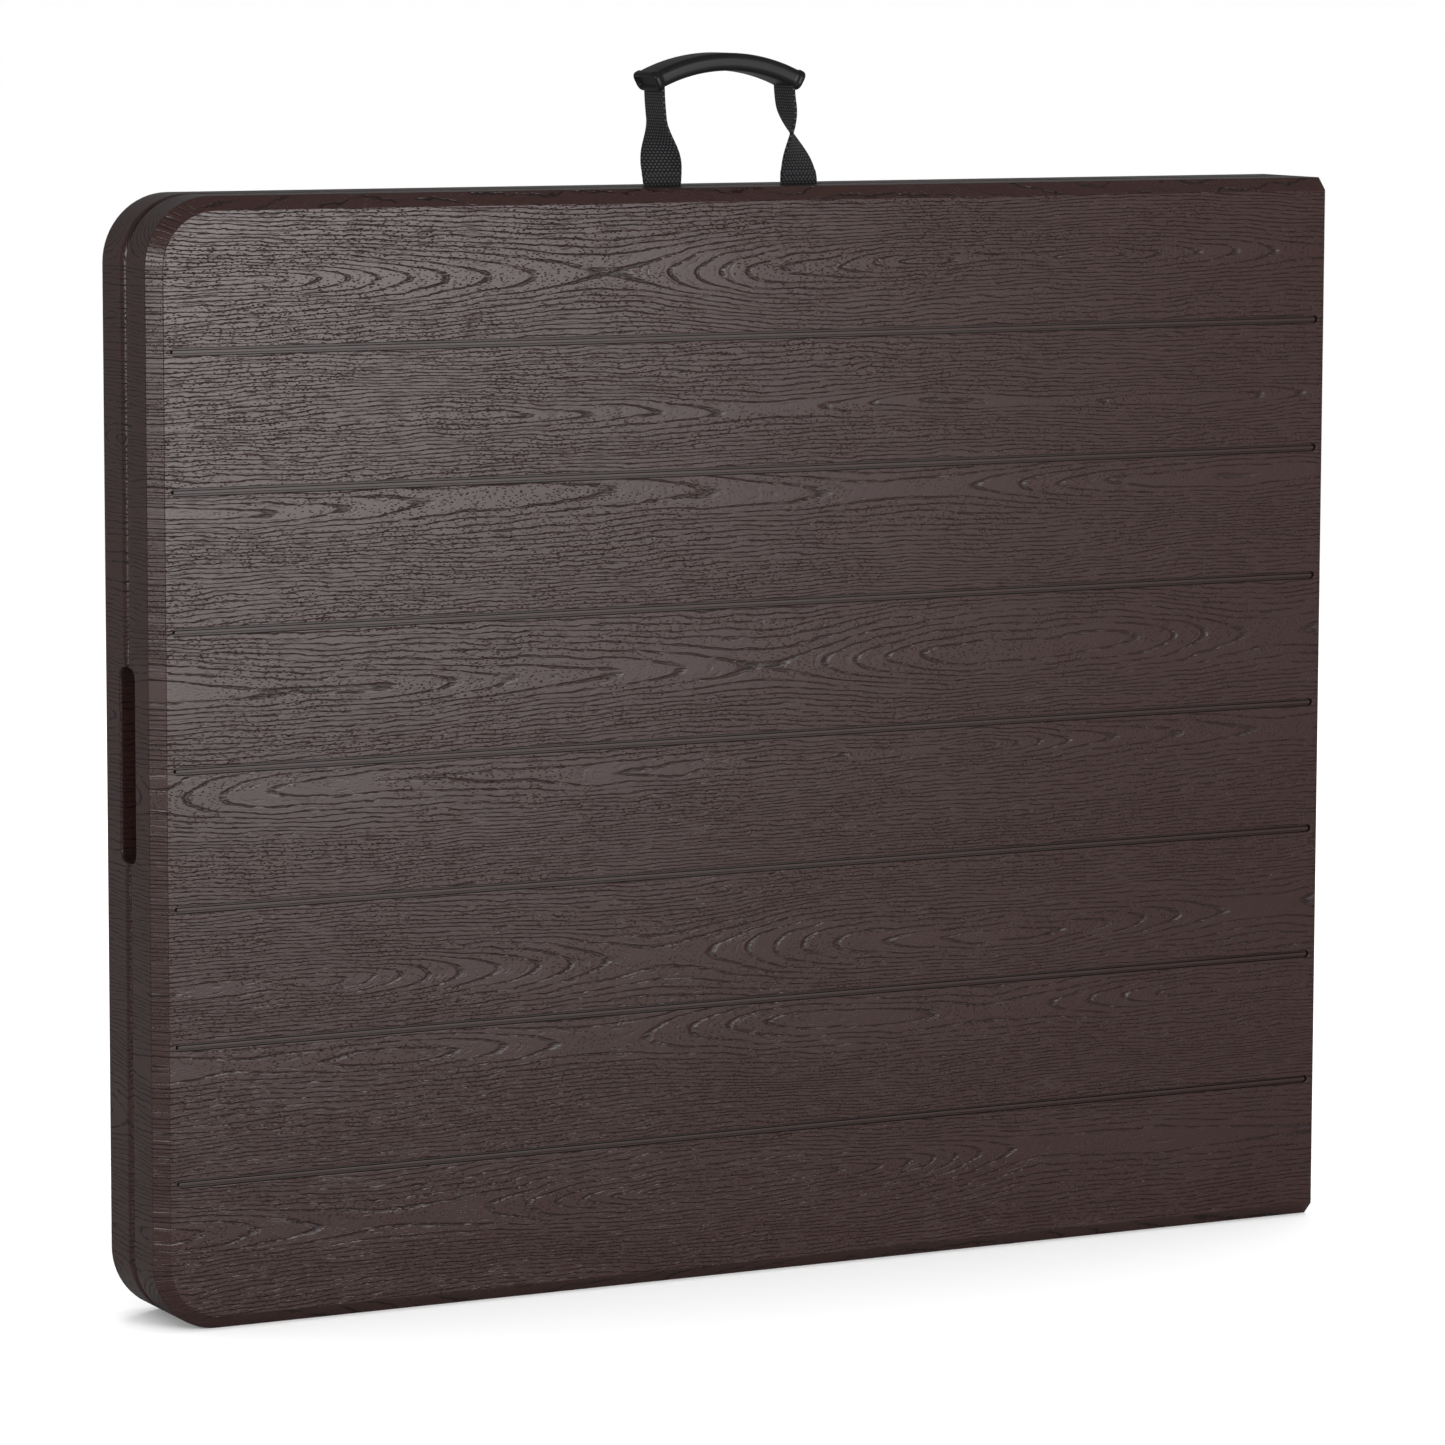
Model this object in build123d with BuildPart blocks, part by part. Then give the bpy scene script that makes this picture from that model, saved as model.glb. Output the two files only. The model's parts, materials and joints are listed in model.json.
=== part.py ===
from build123d import *
from math import asin, cos, sin, sqrt

# Fold-in-half table, folded and standing on one long edge.
# X runs along the halves (rounded outer end at -X, fold at +X), Z is up, and the seam is Y = 0.
# Everything is drawn for the front half (-Y); the rear half is its mirror image in the XZ plane.
# Plane.XZ.offset(d) is the plane Y = -d, so depths below are measured from the seam outwards.

# ---- driving dimensions, millimetres
TABLE_HEIGHT = 740
HALF_LENGTH = 900
WIDTH = 750
HALF_THICKNESS = 45.5
SEAM_GAP = 0.5
FIT = 0.06
CLEAR = 0.4

# panel
BEVEL = 9
SEAM_FILLET = 6
CORNER_R = 46
DECK = 6
RIM = 20
HINGE_RIM = 40
PLANKS = 8
GROOVE_WIDTH = 5
GROOVE_DEPTH = 1.8
GROOVE_MARGIN = 5
SLOT_LENGTH = 130
SLOT_WIDTH = 24
SLOT_R = 8

# steelwork
RAIL = 20
RAIL_WALL = 1.2
RAIL_CORNER_R = 2.5
PLUG_CORNER_R = 1.3
PLUG_DEPTH = 12
PLUG_LIP = 2
RAIL_Z = (75, WIDTH - 75)
SHEET = 3
TUBE_WALL = 1.5
PIVOT_INSET = 65
PIVOT_DEPTH = 15
PIVOT_PIN_R = 5
PIVOT_PIN_LENGTH = 16
PIVOT_PIN_HEAD = 2
PIVOT_TUBE_R = 13
BUSH_LENGTH = 15
BRACKET_LENGTH = 32
BRACKET_FLANGE = 24
EAR_R = 11
CLIP_LENGTH = 20
CLIP_GAP = 0.5
CLIP_MOUTH_D = 17
POST_R = 12.5
POST_Z = (135, WIDTH - 135)
LOWER_R = POST_R - TUBE_WALL - CLEAR
BAR_R = 8
BAR_WALL = 1.2
POST_END = 356
COLLAR_R = 14
COLLAR_SPAN = (340, 372)
BOSS_R = 7
BOSS_REACH = 20
KNOB_SPAN = (21, 34)
KNOB_R = 9
KNOB_LOBE_R = 3.5
KNOB_LOBE_AT = 7.5
KNOB_LOBES = 6
KNOB_SCREW_R = 3
KNOB_SCREW_END = 30
LOWER_SPAN = (16, 408)
FOOT_BAR_AT = 384
FOOT_BAR_R = 7
FOOT_R = 13.5
FOOT_SPAN = (392, 415)
CROSSBAR_AT = 230
BRACE_Z = (250, WIDTH - 250)
ROD_DEPTH = 29
ROD_R = 4
ROD_OVERHANG = 2
ROD_GAP = 0.3
ARM_T = 6
ARM_WIDTH = 9
ARM_HUB_R = 12
ARM_HUB_WIDTH = 16
ARM_TIP_R = 6.5
SADDLE = 20
CATCH_WIDTH = 20
CATCH_WALL = 4
CATCH_TAIL = 30
CATCH_NOSE = 8
CATCH_FLOOR_NOSE = 6

# hinge
KNUCKLE_R = 5.5
HINGE_PIN_R = 2.5
LEAF_T = 2.5
LEAF_LENGTH = 32
LEAF_HEIGHT = 40
LEAF_SINK = 1.5
LEAF_SCREW_HEAD = 1.3
LEAF_SCREW_LENGTH = 14
KNUCKLE_GAP = 0.5
KNUCKLE_RELIEF = 2
PIN_COLLAR = 1.5

# carrying handle
STRAP_WIDTH = 28
STRAP_T = 2.6
STRAP_DEPTH = 1.7
STRAP_BASE_X = (-59.4, 45.8)
STRAP_TOP_X = (-65.4, 34.4)
STRAP_FOLD_Z = WIDTH + 3
STRAP_TURN_Z = 800
GRIP_R = 121
GRIP_TOP_Z = 833
GRIP_REACH = 62
GRIP_BELOW = 6
GRIP_ABOVE = 8
GRIP_WIDTH = 34
GRIP_EDGE_R = 4.5
GRIP_BORE_GAP = 0.2
TAB_TAIL = 12
TAB_FOLD_GAP = 0.6
RIVET_DX = (-8, 8)
RIVET_LENGTH = 13

# latch
LATCH_Z = 490
LATCH_DEPTH = 12
LATCH_REACH = 24
LATCH_T = 3
LATCH_PIN_R = 2.5
LATCH_SEAT = 9
LATCH_WIDTH = 12
LATCH_HEAD_R = 5
LATCH_GAP = 0.3
NOTCH_WIDTH = 9.2
NOTCH_LENGTH = 7.6
NOTCH_SHIFT = (1.9, -0.8)
STUD_R = 2.3
STUD_HEAD_R = 3.3

# ---- derived places
HINGE_X = (HALF_LENGTH - KNUCKLE_R) / 2
OUTER_X = HINGE_X - HALF_LENGTH
SEAM_D = SEAM_GAP / 2
END_X = HINGE_X - SEAM_D
FACE_D = SEAM_D + HALF_THICKNESS
DECK_D = FACE_D - DECK
BAY_X0 = OUTER_X + RIM
BAY_X1 = END_X - HINGE_RIM
PIVOT_X = OUTER_X + PIVOT_INSET
RAIL_BORE = RAIL - 2 * RAIL_WALL
RAIL_X0 = BAY_X0 + 5
RAIL_X1 = BAY_X1 - 5
CROSSBAR_X = PIVOT_X + CROSSBAR_AT
BRACE_DROP = ROD_DEPTH - PIVOT_DEPTH
BRACE_REACH = sqrt(2) * (CROSSBAR_AT + BRACE_DROP) - BRACE_DROP
CATCH_X = PIVOT_X + (BRACE_REACH - BRACE_DROP) / sqrt(2)
LEAF_X1 = HINGE_X - KNUCKLE_R - KNUCKLE_GAP
LEAF_X0 = LEAF_X1 - LEAF_LENGTH
BASE_D = DECK_D - SHEET
SCREW_R = 2
SCREW_HEAD_R = 4
SCREW_HEAD = 2
SCREW_BITE = 3.4
SCREW_TIP_D = DECK_D + SCREW_BITE
LEAF_SCREW_TIP_D = SEAM_D + LEAF_SCREW_LENGTH
RIVET_Z = WIDTH - RIM / 2
HOOK_X = BAY_X0 + 1.5

RAIL_SCREW_X = [RAIL_X0 + 60 + i * (RAIL_X1 - RAIL_X0 - 120) / 3 for i in range(4)]
RAIL_SCREWS = [(x, z) for x in RAIL_SCREW_X for z in RAIL_Z]
BRACKET_Z = (RAIL_Z[0] + RAIL / 2 + 3, RAIL_Z[1] - RAIL / 2 - 3)
INWARD = (1, -1)
CLIP_X = PIVOT_X + 300
CLIP_SPAN = (CLIP_X - CLIP_LENGTH / 2, CLIP_X + CLIP_LENGTH / 2)
CATCH_Z = (BRACE_Z[0] + 25, BRACE_Z[1] - 25)
CATCH_SCREW_X = CATCH_X - 20
BRACKET_SCREWS = (
    [(PIVOT_X + dx, z + s * 16) for z, s in zip(BRACKET_Z, INWARD) for dx in (-10, 10)]
    + [(CLIP_X, z) for z in POST_Z]
    + [(CATCH_SCREW_X, z) for z in CATCH_Z]
)
LEAF_SCREWS = [(LEAF_X0 + dx, z + dz) for z in RAIL_Z for dx in (7, 24) for dz in (-13, 13)]


def write(part, name):
    """Label one finished piece and write it."""
    part.label = name
    export_step(part, f"parts/{name}.step")


def write_pair(part, name):
    """Write a front piece and the rear piece that mirrors it."""
    write(part, "front_" + name)
    with BuildPart() as rear:
        mirror(part, about=Plane.XZ)
    write(rear.part, "rear_" + name)


def block(x, depth, z, mode=Mode.ADD):
    """A box from its two limits along X, in depth from the seam, and along Z."""
    with BuildSketch(Plane.XZ.offset(depth[0])) as side:
        with Locations(((x[0] + x[1]) / 2, (z[0] + z[1]) / 2)):
            Rectangle(x[1] - x[0], z[1] - z[0])
    extrude(side.sketch, amount=depth[1] - depth[0], mode=mode)


def disc(plane, at, radius, length, mode=Mode.ADD):
    """A round bar of this radius, standing on a plane."""
    with BuildSketch(plane) as section:
        with Locations(at):
            Circle(radius)
    extrude(section.sketch, amount=length, mode=mode)


def depth_bar(x, z, radius, d0, d1, mode=Mode.ADD):
    """A round bar through the thickness, from depth d0 to d1."""
    disc(Plane.XZ.offset(d0), (x, z), radius, d1 - d0, mode)


def along_x(x0, x1, depth, z, radius, mode=Mode.ADD):
    """A round bar along X."""
    disc(Plane.YZ.offset(x0), (-depth, z), radius, x1 - x0, mode)


def along_z(z0, z1, x, depth, radius, mode=Mode.ADD):
    """A round bar along Z."""
    disc(Plane.XY.offset(z0), (x, -depth), radius, z1 - z0, mode)


def bar_of_screws(places, d0, d1, head_r=SCREW_HEAD_R, head=SCREW_HEAD):
    """Pan-head screws through the thickness: heads end at depth d0, tips at d1."""
    for x, z in places:
        depth_bar(x, z, head_r, d0, d0 + head)
        depth_bar(x, z, SCREW_R, d0 + head, d1)


# ---- the two moulded halves
def half_panel(has_handle):
    """One half of the top, drawn as the front one: deck, rims, plank grooves and finger slot."""
    with BuildPart() as panel:
        with BuildSketch(Plane.XZ.offset(SEAM_D)) as outline:
            with Locations(((OUTER_X + END_X) / 2, WIDTH / 2)):
                Rectangle(END_X - OUTER_X, WIDTH)
            fillet(outline.vertices().group_by(Axis.X)[0], radius=CORNER_R)
        extrude(amount=HALF_THICKNESS)

        face = panel.faces().sort_by(Axis.Y)[0]
        chamfer(face.edges().filter_by(lambda e: e.center().X < END_X - 1), length=BEVEL)
        seam = panel.faces().sort_by(Axis.Y)[-1]
        fillet(seam.edges().filter_by(lambda e: e.center().X < END_X - 1), radius=SEAM_FILLET)

        with BuildSketch(Plane.XZ.offset(SEAM_D)) as bay:
            with Locations(((BAY_X0 + BAY_X1) / 2, WIDTH / 2)):
                Rectangle(BAY_X1 - BAY_X0, WIDTH - 2 * RIM)
            fillet(bay.vertices().group_by(Axis.X)[0], radius=CORNER_R - RIM)
        extrude(amount=HALF_THICKNESS - DECK, mode=Mode.SUBTRACT)

        pitch = (WIDTH - 2 * BEVEL) / PLANKS
        groove_x0 = OUTER_X + BEVEL + GROOVE_MARGIN
        groove_x1 = END_X - GROOVE_MARGIN
        with BuildSketch(Plane.XZ.offset(FACE_D - GROOVE_DEPTH)):
            for i in range(1, PLANKS):
                with Locations(((groove_x0 + groove_x1) / 2, BEVEL + i * pitch)):
                    SlotOverall(groove_x1 - groove_x0, GROOVE_WIDTH)
        extrude(amount=GROOVE_DEPTH, mode=Mode.SUBTRACT)

        with BuildSketch(Plane.YZ.offset(OUTER_X)):
            with Locations((0, WIDTH / 2)):
                RectangleRounded(SLOT_WIDTH, SLOT_LENGTH, SLOT_R)
        extrude(amount=RIM, mode=Mode.SUBTRACT)

        for z in RAIL_Z:
            half = LEAF_HEIGHT / 2 + KNUCKLE_RELIEF
            along_z(z - half, z + half, HINGE_X, 0, KNUCKLE_R + KNUCKLE_GAP, Mode.SUBTRACT)
            span = (z - LEAF_HEIGHT / 2, z + LEAF_HEIGHT / 2)
            block((LEAF_X0, END_X), (SEAM_D, SEAM_D + LEAF_T), span, Mode.SUBTRACT)

        for x, z in RAIL_SCREWS + BRACKET_SCREWS:
            depth_bar(x, z, SCREW_R, DECK_D, SCREW_TIP_D, Mode.SUBTRACT)
        for x, z in LEAF_SCREWS:
            depth_bar(x, z, SCREW_R, SEAM_D + LEAF_T, LEAF_SCREW_TIP_D, Mode.SUBTRACT)

        if has_handle:
            for x in STRAP_BASE_X:
                width = (x - STRAP_WIDTH / 2 - 0.5, x + STRAP_WIDTH / 2 + 0.5)
                notch = (SEAM_D, STRAP_DEPTH + STRAP_T / 2)
                block(width, notch, (WIDTH - RIM, WIDTH), Mode.SUBTRACT)
                for dx in RIVET_DX:
                    depth_bar(x + dx, RIVET_Z, SCREW_R, SEAM_D, RIVET_LENGTH, Mode.SUBTRACT)
        seat_r = LATCH_PIN_R if has_handle else STUD_R
        along_x(BAY_X0 - LATCH_SEAT, BAY_X0, LATCH_DEPTH, LATCH_Z, seat_r, Mode.SUBTRACT)
    return panel.part


write(half_panel(True), "front_panel")
with BuildPart() as rear_panel:
    mirror(half_panel(False), about=Plane.XZ)
write(rear_panel.part, "rear_panel")

# ---- rails, their end plugs and screws
with BuildPart() as rails:
    for z in RAIL_Z:
        with BuildSketch(Plane.YZ.offset(RAIL_X0)):
            with Locations((RAIL / 2 - DECK_D, z)):
                RectangleRounded(RAIL, RAIL, RAIL_CORNER_R)
                RectangleRounded(RAIL_BORE, RAIL_BORE, PLUG_CORNER_R, mode=Mode.SUBTRACT)
        extrude(amount=RAIL_X1 - RAIL_X0)
    for x, z in RAIL_SCREWS:
        depth_bar(x, z, SCREW_R, DECK_D - RAIL, DECK_D, Mode.SUBTRACT)
write_pair(rails.part, "rails")

with BuildPart() as rail_plugs:
    for z in RAIL_Z:
        for x, inside in ((RAIL_X0, 1), (RAIL_X1, -1)):
            with BuildSketch(Plane.YZ.offset(x)):
                with Locations((RAIL / 2 - DECK_D, z)):
                    RectangleRounded(RAIL_BORE, RAIL_BORE, PLUG_CORNER_R)
            extrude(amount=PLUG_DEPTH * inside)
            with BuildSketch(Plane.YZ.offset(x)):
                with Locations((RAIL / 2 - DECK_D, z)):
                    RectangleRounded(RAIL, RAIL, RAIL_CORNER_R)
            extrude(amount=-PLUG_LIP * inside)
write_pair(rail_plugs.part, "rail_plugs")

with BuildPart() as rail_screws:
    bar_of_screws(RAIL_SCREWS, DECK_D - RAIL - SCREW_HEAD, SCREW_TIP_D)
write_pair(rail_screws.part, "rail_screws")


# ---- fold hinges: the front leaf holds the outer knuckles and the pin, the rear leaf the middle one
def hinge_leaves(knuckles, bore_r):
    """Both leaves of one half; knuckles are spans about the middle of the hinge."""
    with BuildPart() as leaves:
        for z in RAIL_Z:
            half = LEAF_HEIGHT / 2
            block((LEAF_X0, LEAF_X1), (SEAM_D, SEAM_D + LEAF_T), (z - half, z + half))
            for k0, k1 in knuckles:
                block((LEAF_X1, HINGE_X), (SEAM_D, SEAM_D + LEAF_T), (z + k0, z + k1))
                along_z(z + k0, z + k1, HINGE_X, 0, KNUCKLE_R)
                along_z(z + k0, z + k1, HINGE_X, 0, bore_r, Mode.SUBTRACT)
        for x, z in LEAF_SCREWS:
            depth_bar(x, z, SCREW_R, SEAM_D, SEAM_D + LEAF_T, Mode.SUBTRACT)
            depth_bar(x, z, SCREW_HEAD_R, SEAM_D, SEAM_D + LEAF_SINK, Mode.SUBTRACT)
    return leaves.part


third = (LEAF_HEIGHT - 2 * KNUCKLE_GAP) / 3
write(hinge_leaves(((-LEAF_HEIGHT / 2, third - LEAF_HEIGHT / 2),
                    (LEAF_HEIGHT / 2 - third, LEAF_HEIGHT / 2)), HINGE_PIN_R), "front_hinge_leaves")
with BuildPart() as rear_leaves:
    mirror(hinge_leaves(((-third / 2, third / 2),), HINGE_PIN_R + FIT), about=Plane.XZ)
write(rear_leaves.part, "rear_hinge_leaves")

with BuildPart() as hinge_pins:
    for z in RAIL_Z:
        half = LEAF_HEIGHT / 2
        along_z(z - half, z + half, HINGE_X, 0, HINGE_PIN_R)
        along_z(z - half - PIN_COLLAR, z - half, HINGE_X, 0, HINGE_PIN_R + 1.2)
        along_z(z + half, z + half + PIN_COLLAR, HINGE_X, 0, HINGE_PIN_R + 1.2)
write(hinge_pins.part, "hinge_pins")

with BuildPart() as leaf_screws:
    bar_of_screws(LEAF_SCREWS, SEAM_D + LEAF_SINK - LEAF_SCREW_HEAD, LEAF_SCREW_TIP_D,
                  head=LEAF_SCREW_HEAD)
write_pair(leaf_screws.part, "hinge_screws")

# ---- leg pivot brackets and pins
with BuildPart() as brackets:
    for z, s in zip(BRACKET_Z, INWARD):
        with BuildSketch(Plane.XY.offset(min(z, z + s * SHEET))):
            with Locations((PIVOT_X, -(PIVOT_DEPTH + DECK_D) / 2)):
                Rectangle(BRACKET_LENGTH, DECK_D - PIVOT_DEPTH)
            with Locations((PIVOT_X, -PIVOT_DEPTH)):
                Circle(EAR_R)
        extrude(amount=SHEET)
        length = (PIVOT_X - BRACKET_LENGTH / 2, PIVOT_X + BRACKET_LENGTH / 2)
        block(length, (BASE_D, DECK_D), sorted((z, z + s * BRACKET_FLANGE)))
        along_z(z - SHEET, z + SHEET, PIVOT_X, PIVOT_DEPTH, PIVOT_PIN_R, Mode.SUBTRACT)
    for x, z in BRACKET_SCREWS[:4]:
        depth_bar(x, z, SCREW_R, BASE_D, DECK_D, Mode.SUBTRACT)
write_pair(brackets.part, "pivot_brackets")

with BuildPart() as pivot_pins:
    for z, s in zip(BRACKET_Z, INWARD):
        pin = sorted((z, z + s * PIVOT_PIN_LENGTH))
        head = sorted((z, z - s * PIVOT_PIN_HEAD))
        along_z(pin[0], pin[1], PIVOT_X, PIVOT_DEPTH, PIVOT_PIN_R)
        along_z(head[0], head[1], PIVOT_X, PIVOT_DEPTH, PIVOT_PIN_R + 3)
write_pair(pivot_pins.part, "pivot_pins")

# ---- spring clips for the folded legs, and the catches where the braces land
with BuildPart() as leg_clips:
    for z in POST_Z:
        wide = POST_R + CLIP_GAP + SHEET
        block(CLIP_SPAN, (BASE_D, DECK_D), (z - wide, z + wide))
        for side in (-1, 1):
            wall = sorted((z + side * (POST_R + CLIP_GAP), z + side * wide))
            block(CLIP_SPAN, (CLIP_MOUTH_D, DECK_D), wall)
        depth_bar(CLIP_X, z, SCREW_R, BASE_D, DECK_D, Mode.SUBTRACT)
write_pair(leg_clips.part, "leg_clips")

with BuildPart() as catches:
    floor = ROD_DEPTH + ROD_R + ROD_GAP
    wall_x = CATCH_X - ROD_R - ROD_GAP
    for z in CATCH_Z:
        span = (z - CATCH_WIDTH / 2, z + CATCH_WIDTH / 2)
        block((CATCH_X - CATCH_TAIL, CATCH_X + CATCH_NOSE), (BASE_D, DECK_D), span)
        block((wall_x - CATCH_WALL, CATCH_X + CATCH_FLOOR_NOSE), (floor, BASE_D), span)
        block((wall_x - CATCH_WALL, wall_x), (ROD_DEPTH - ROD_R - 1, BASE_D), span)
        depth_bar(CATCH_SCREW_X, z, SCREW_R, BASE_D, DECK_D, Mode.SUBTRACT)
write_pair(catches.part, "brace_catches")

with BuildPart() as bracket_screws:
    bar_of_screws(BRACKET_SCREWS, BASE_D - SCREW_HEAD, SCREW_TIP_D)
write_pair(bracket_screws.part, "bracket_screws")

# ---- upper leg frame: pivot tube, two posts, crossbar, bushes and clamp collars
TUBE_END = (BRACKET_Z[0] + 4, BRACKET_Z[1] - 4)
with BuildPart() as pivot_tube:
    along_z(TUBE_END[0], TUBE_END[1], PIVOT_X, PIVOT_DEPTH, PIVOT_TUBE_R)
    along_z(TUBE_END[0], TUBE_END[1], PIVOT_X, PIVOT_DEPTH, PIVOT_TUBE_R - TUBE_WALL, Mode.SUBTRACT)
write_pair(pivot_tube.part, "leg_pivot_tube")

with BuildPart() as bushes:
    for z, s in zip(TUBE_END, INWARD):
        span = sorted((z, z + s * BUSH_LENGTH))
        along_z(span[0], span[1], PIVOT_X, PIVOT_DEPTH, PIVOT_TUBE_R - TUBE_WALL)
        along_z(span[0], span[1], PIVOT_X, PIVOT_DEPTH, PIVOT_PIN_R + FIT, Mode.SUBTRACT)
write_pair(bushes.part, "leg_bushes")

with BuildPart() as posts:
    for z in POST_Z:
        along_x(PIVOT_X, PIVOT_X + POST_END, PIVOT_DEPTH, z, POST_R)
        along_x(PIVOT_X, PIVOT_X + POST_END, PIVOT_DEPTH, z, POST_R - TUBE_WALL, Mode.SUBTRACT)
    along_z(TUBE_END[0], TUBE_END[1], PIVOT_X, PIVOT_DEPTH, PIVOT_TUBE_R, Mode.SUBTRACT)
write_pair(posts.part, "leg_posts")

with BuildPart() as crossbar:
    along_z(POST_Z[0], POST_Z[1], CROSSBAR_X, PIVOT_DEPTH, BAR_R)
    along_z(POST_Z[0], POST_Z[1], CROSSBAR_X, PIVOT_DEPTH, BAR_R - BAR_WALL, Mode.SUBTRACT)
    for z in POST_Z:
        along_x(CROSSBAR_X - SADDLE, CROSSBAR_X + SADDLE, PIVOT_DEPTH, z, POST_R, Mode.SUBTRACT)
write_pair(crossbar.part, "leg_crossbar")

CLAMP_X = PIVOT_X + (POST_END + COLLAR_SPAN[1]) / 2
with BuildPart() as collars:
    for z, s in zip(POST_Z, INWARD):
        x0, x1 = PIVOT_X + COLLAR_SPAN[0], PIVOT_X + COLLAR_SPAN[1]
        boss = sorted((z, z + s * BOSS_REACH))
        along_x(x0, x1, PIVOT_DEPTH, z, COLLAR_R)
        along_z(boss[0], boss[1], CLAMP_X, PIVOT_DEPTH, BOSS_R)
        along_z(boss[0], boss[1], CLAMP_X, PIVOT_DEPTH, KNOB_SCREW_R + FIT, Mode.SUBTRACT)
        along_x(x0, PIVOT_X + POST_END, PIVOT_DEPTH, z, POST_R, Mode.SUBTRACT)
        along_x(x0, x1, PIVOT_DEPTH, z, LOWER_R + CLEAR, Mode.SUBTRACT)
write_pair(collars.part, "leg_collars")

for height, z, s in zip(("low", "high"), POST_Z, INWARD):
    with BuildPart() as knob_screw:
        span = sorted((z + s * (LOWER_R + CLEAR), z + s * KNOB_SCREW_END))
        along_z(span[0], span[1], CLAMP_X, PIVOT_DEPTH, KNOB_SCREW_R)
    write_pair(knob_screw.part, "knob_screw_" + height)

    with BuildPart() as knob:
        span = sorted((z + s * KNOB_SPAN[0], z + s * KNOB_SPAN[1]))
        with BuildSketch(Plane.XY.offset(span[0])):
            with Locations((CLAMP_X, -PIVOT_DEPTH)):
                Circle(KNOB_R)
                with PolarLocations(KNOB_LOBE_AT, KNOB_LOBES):
                    Circle(KNOB_LOBE_R)
        extrude(amount=span[1] - span[0])
        bore = sorted((z + s * KNOB_SPAN[0], z + s * KNOB_SCREW_END))
        along_z(bore[0], bore[1], CLAMP_X, PIVOT_DEPTH, KNOB_SCREW_R, Mode.SUBTRACT)
    write_pair(knob.part, "knob_" + height)

# ---- lower legs, which slide out of the posts
with BuildPart() as lower_tubes:
    for z in POST_Z:
        x0, x1 = PIVOT_X + LOWER_SPAN[0], PIVOT_X + LOWER_SPAN[1]
        along_x(x0, x1, PIVOT_DEPTH, z, LOWER_R)
        along_x(x0, x1, PIVOT_DEPTH, z, LOWER_R - BAR_WALL, Mode.SUBTRACT)
write_pair(lower_tubes.part, "lower_tubes")

with BuildPart() as foot_bar:
    x = PIVOT_X + FOOT_BAR_AT
    along_z(POST_Z[0], POST_Z[1], x, PIVOT_DEPTH, FOOT_BAR_R)
    along_z(POST_Z[0], POST_Z[1], x, PIVOT_DEPTH, FOOT_BAR_R - BAR_WALL, Mode.SUBTRACT)
    for z in POST_Z:
        along_x(x - SADDLE, x + SADDLE, PIVOT_DEPTH, z, LOWER_R, Mode.SUBTRACT)
write_pair(foot_bar.part, "foot_bar")

with BuildPart() as foot_caps:
    for z in POST_Z:
        along_x(PIVOT_X + FOOT_SPAN[0], PIVOT_X + FOOT_SPAN[1], PIVOT_DEPTH, z, FOOT_R)
    fillet(foot_caps.edges().group_by(Axis.X)[-1], radius=3)
    for z in POST_Z:
        along_x(PIVOT_X + FOOT_SPAN[0], PIVOT_X + LOWER_SPAN[1], PIVOT_DEPTH, z, LOWER_R, Mode.SUBTRACT)
write_pair(foot_caps.part, "foot_caps")

# ---- braces: two flat arms turning on the crossbar, joined by a rod that lands in the catches
with BuildPart() as brace_arms:
    for z in BRACE_Z:
        with BuildSketch(Plane.XY.offset(z - ARM_T / 2)):
            with Locations((CROSSBAR_X, -PIVOT_DEPTH)):
                Circle(ARM_HUB_R)
            with Locations((CROSSBAR_X + BRACE_REACH / 2, -ROD_DEPTH)):
                Rectangle(BRACE_REACH, ARM_WIDTH)
            with Locations((CROSSBAR_X, -(PIVOT_DEPTH + ROD_DEPTH) / 2)):
                Rectangle(ARM_HUB_WIDTH, BRACE_DROP)
            with Locations((CROSSBAR_X + BRACE_REACH, -ROD_DEPTH)):
                Circle(ARM_TIP_R)
                Circle(ROD_R, mode=Mode.SUBTRACT)
            with Locations((CROSSBAR_X, -PIVOT_DEPTH)):
                Circle(BAR_R + FIT, mode=Mode.SUBTRACT)
        extrude(amount=ARM_T)
write_pair(brace_arms.part, "brace_arms")

with BuildPart() as brace_rod:
    x = CROSSBAR_X + BRACE_REACH
    past = ARM_T / 2 + ROD_OVERHANG
    along_z(BRACE_Z[0] - past, BRACE_Z[1] + past, x, ROD_DEPTH, ROD_R)
write_pair(brace_rod.part, "brace_rod")

# ---- carrying handle: fixed tabs in the front rim, and the webbing loop with its grip
with BuildPart() as tabs:
    for x in STRAP_BASE_X:
        width = (x - STRAP_WIDTH / 2, x + STRAP_WIDTH / 2)
        thick = (STRAP_DEPTH - STRAP_T / 2, STRAP_DEPTH + STRAP_T / 2)
        block(width, thick, (WIDTH - RIM - TAB_TAIL, STRAP_FOLD_Z))
        along_x(width[0], width[1], STRAP_DEPTH, STRAP_FOLD_Z, STRAP_T / 2)
        for dx in RIVET_DX:
            depth_bar(x + dx, RIVET_Z, SCREW_R, 0, 2 * STRAP_DEPTH, Mode.SUBTRACT)
write(tabs.part, "handle_tabs")

with BuildPart() as rivets:
    for x in STRAP_BASE_X:
        for dx in RIVET_DX:
            depth_bar(x + dx, RIVET_Z, SCREW_R, STRAP_DEPTH - STRAP_T / 2, RIVET_LENGTH)
write(rivets.part, "handle_rivets")

GRIP_X = sum(STRAP_TOP_X) / 2
GRIP_Z = GRIP_TOP_Z - GRIP_R
STRAP_D0 = STRAP_DEPTH - STRAP_WIDTH / 2
TOP_HALF = (STRAP_TOP_X[1] - STRAP_TOP_X[0]) / 2


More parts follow.
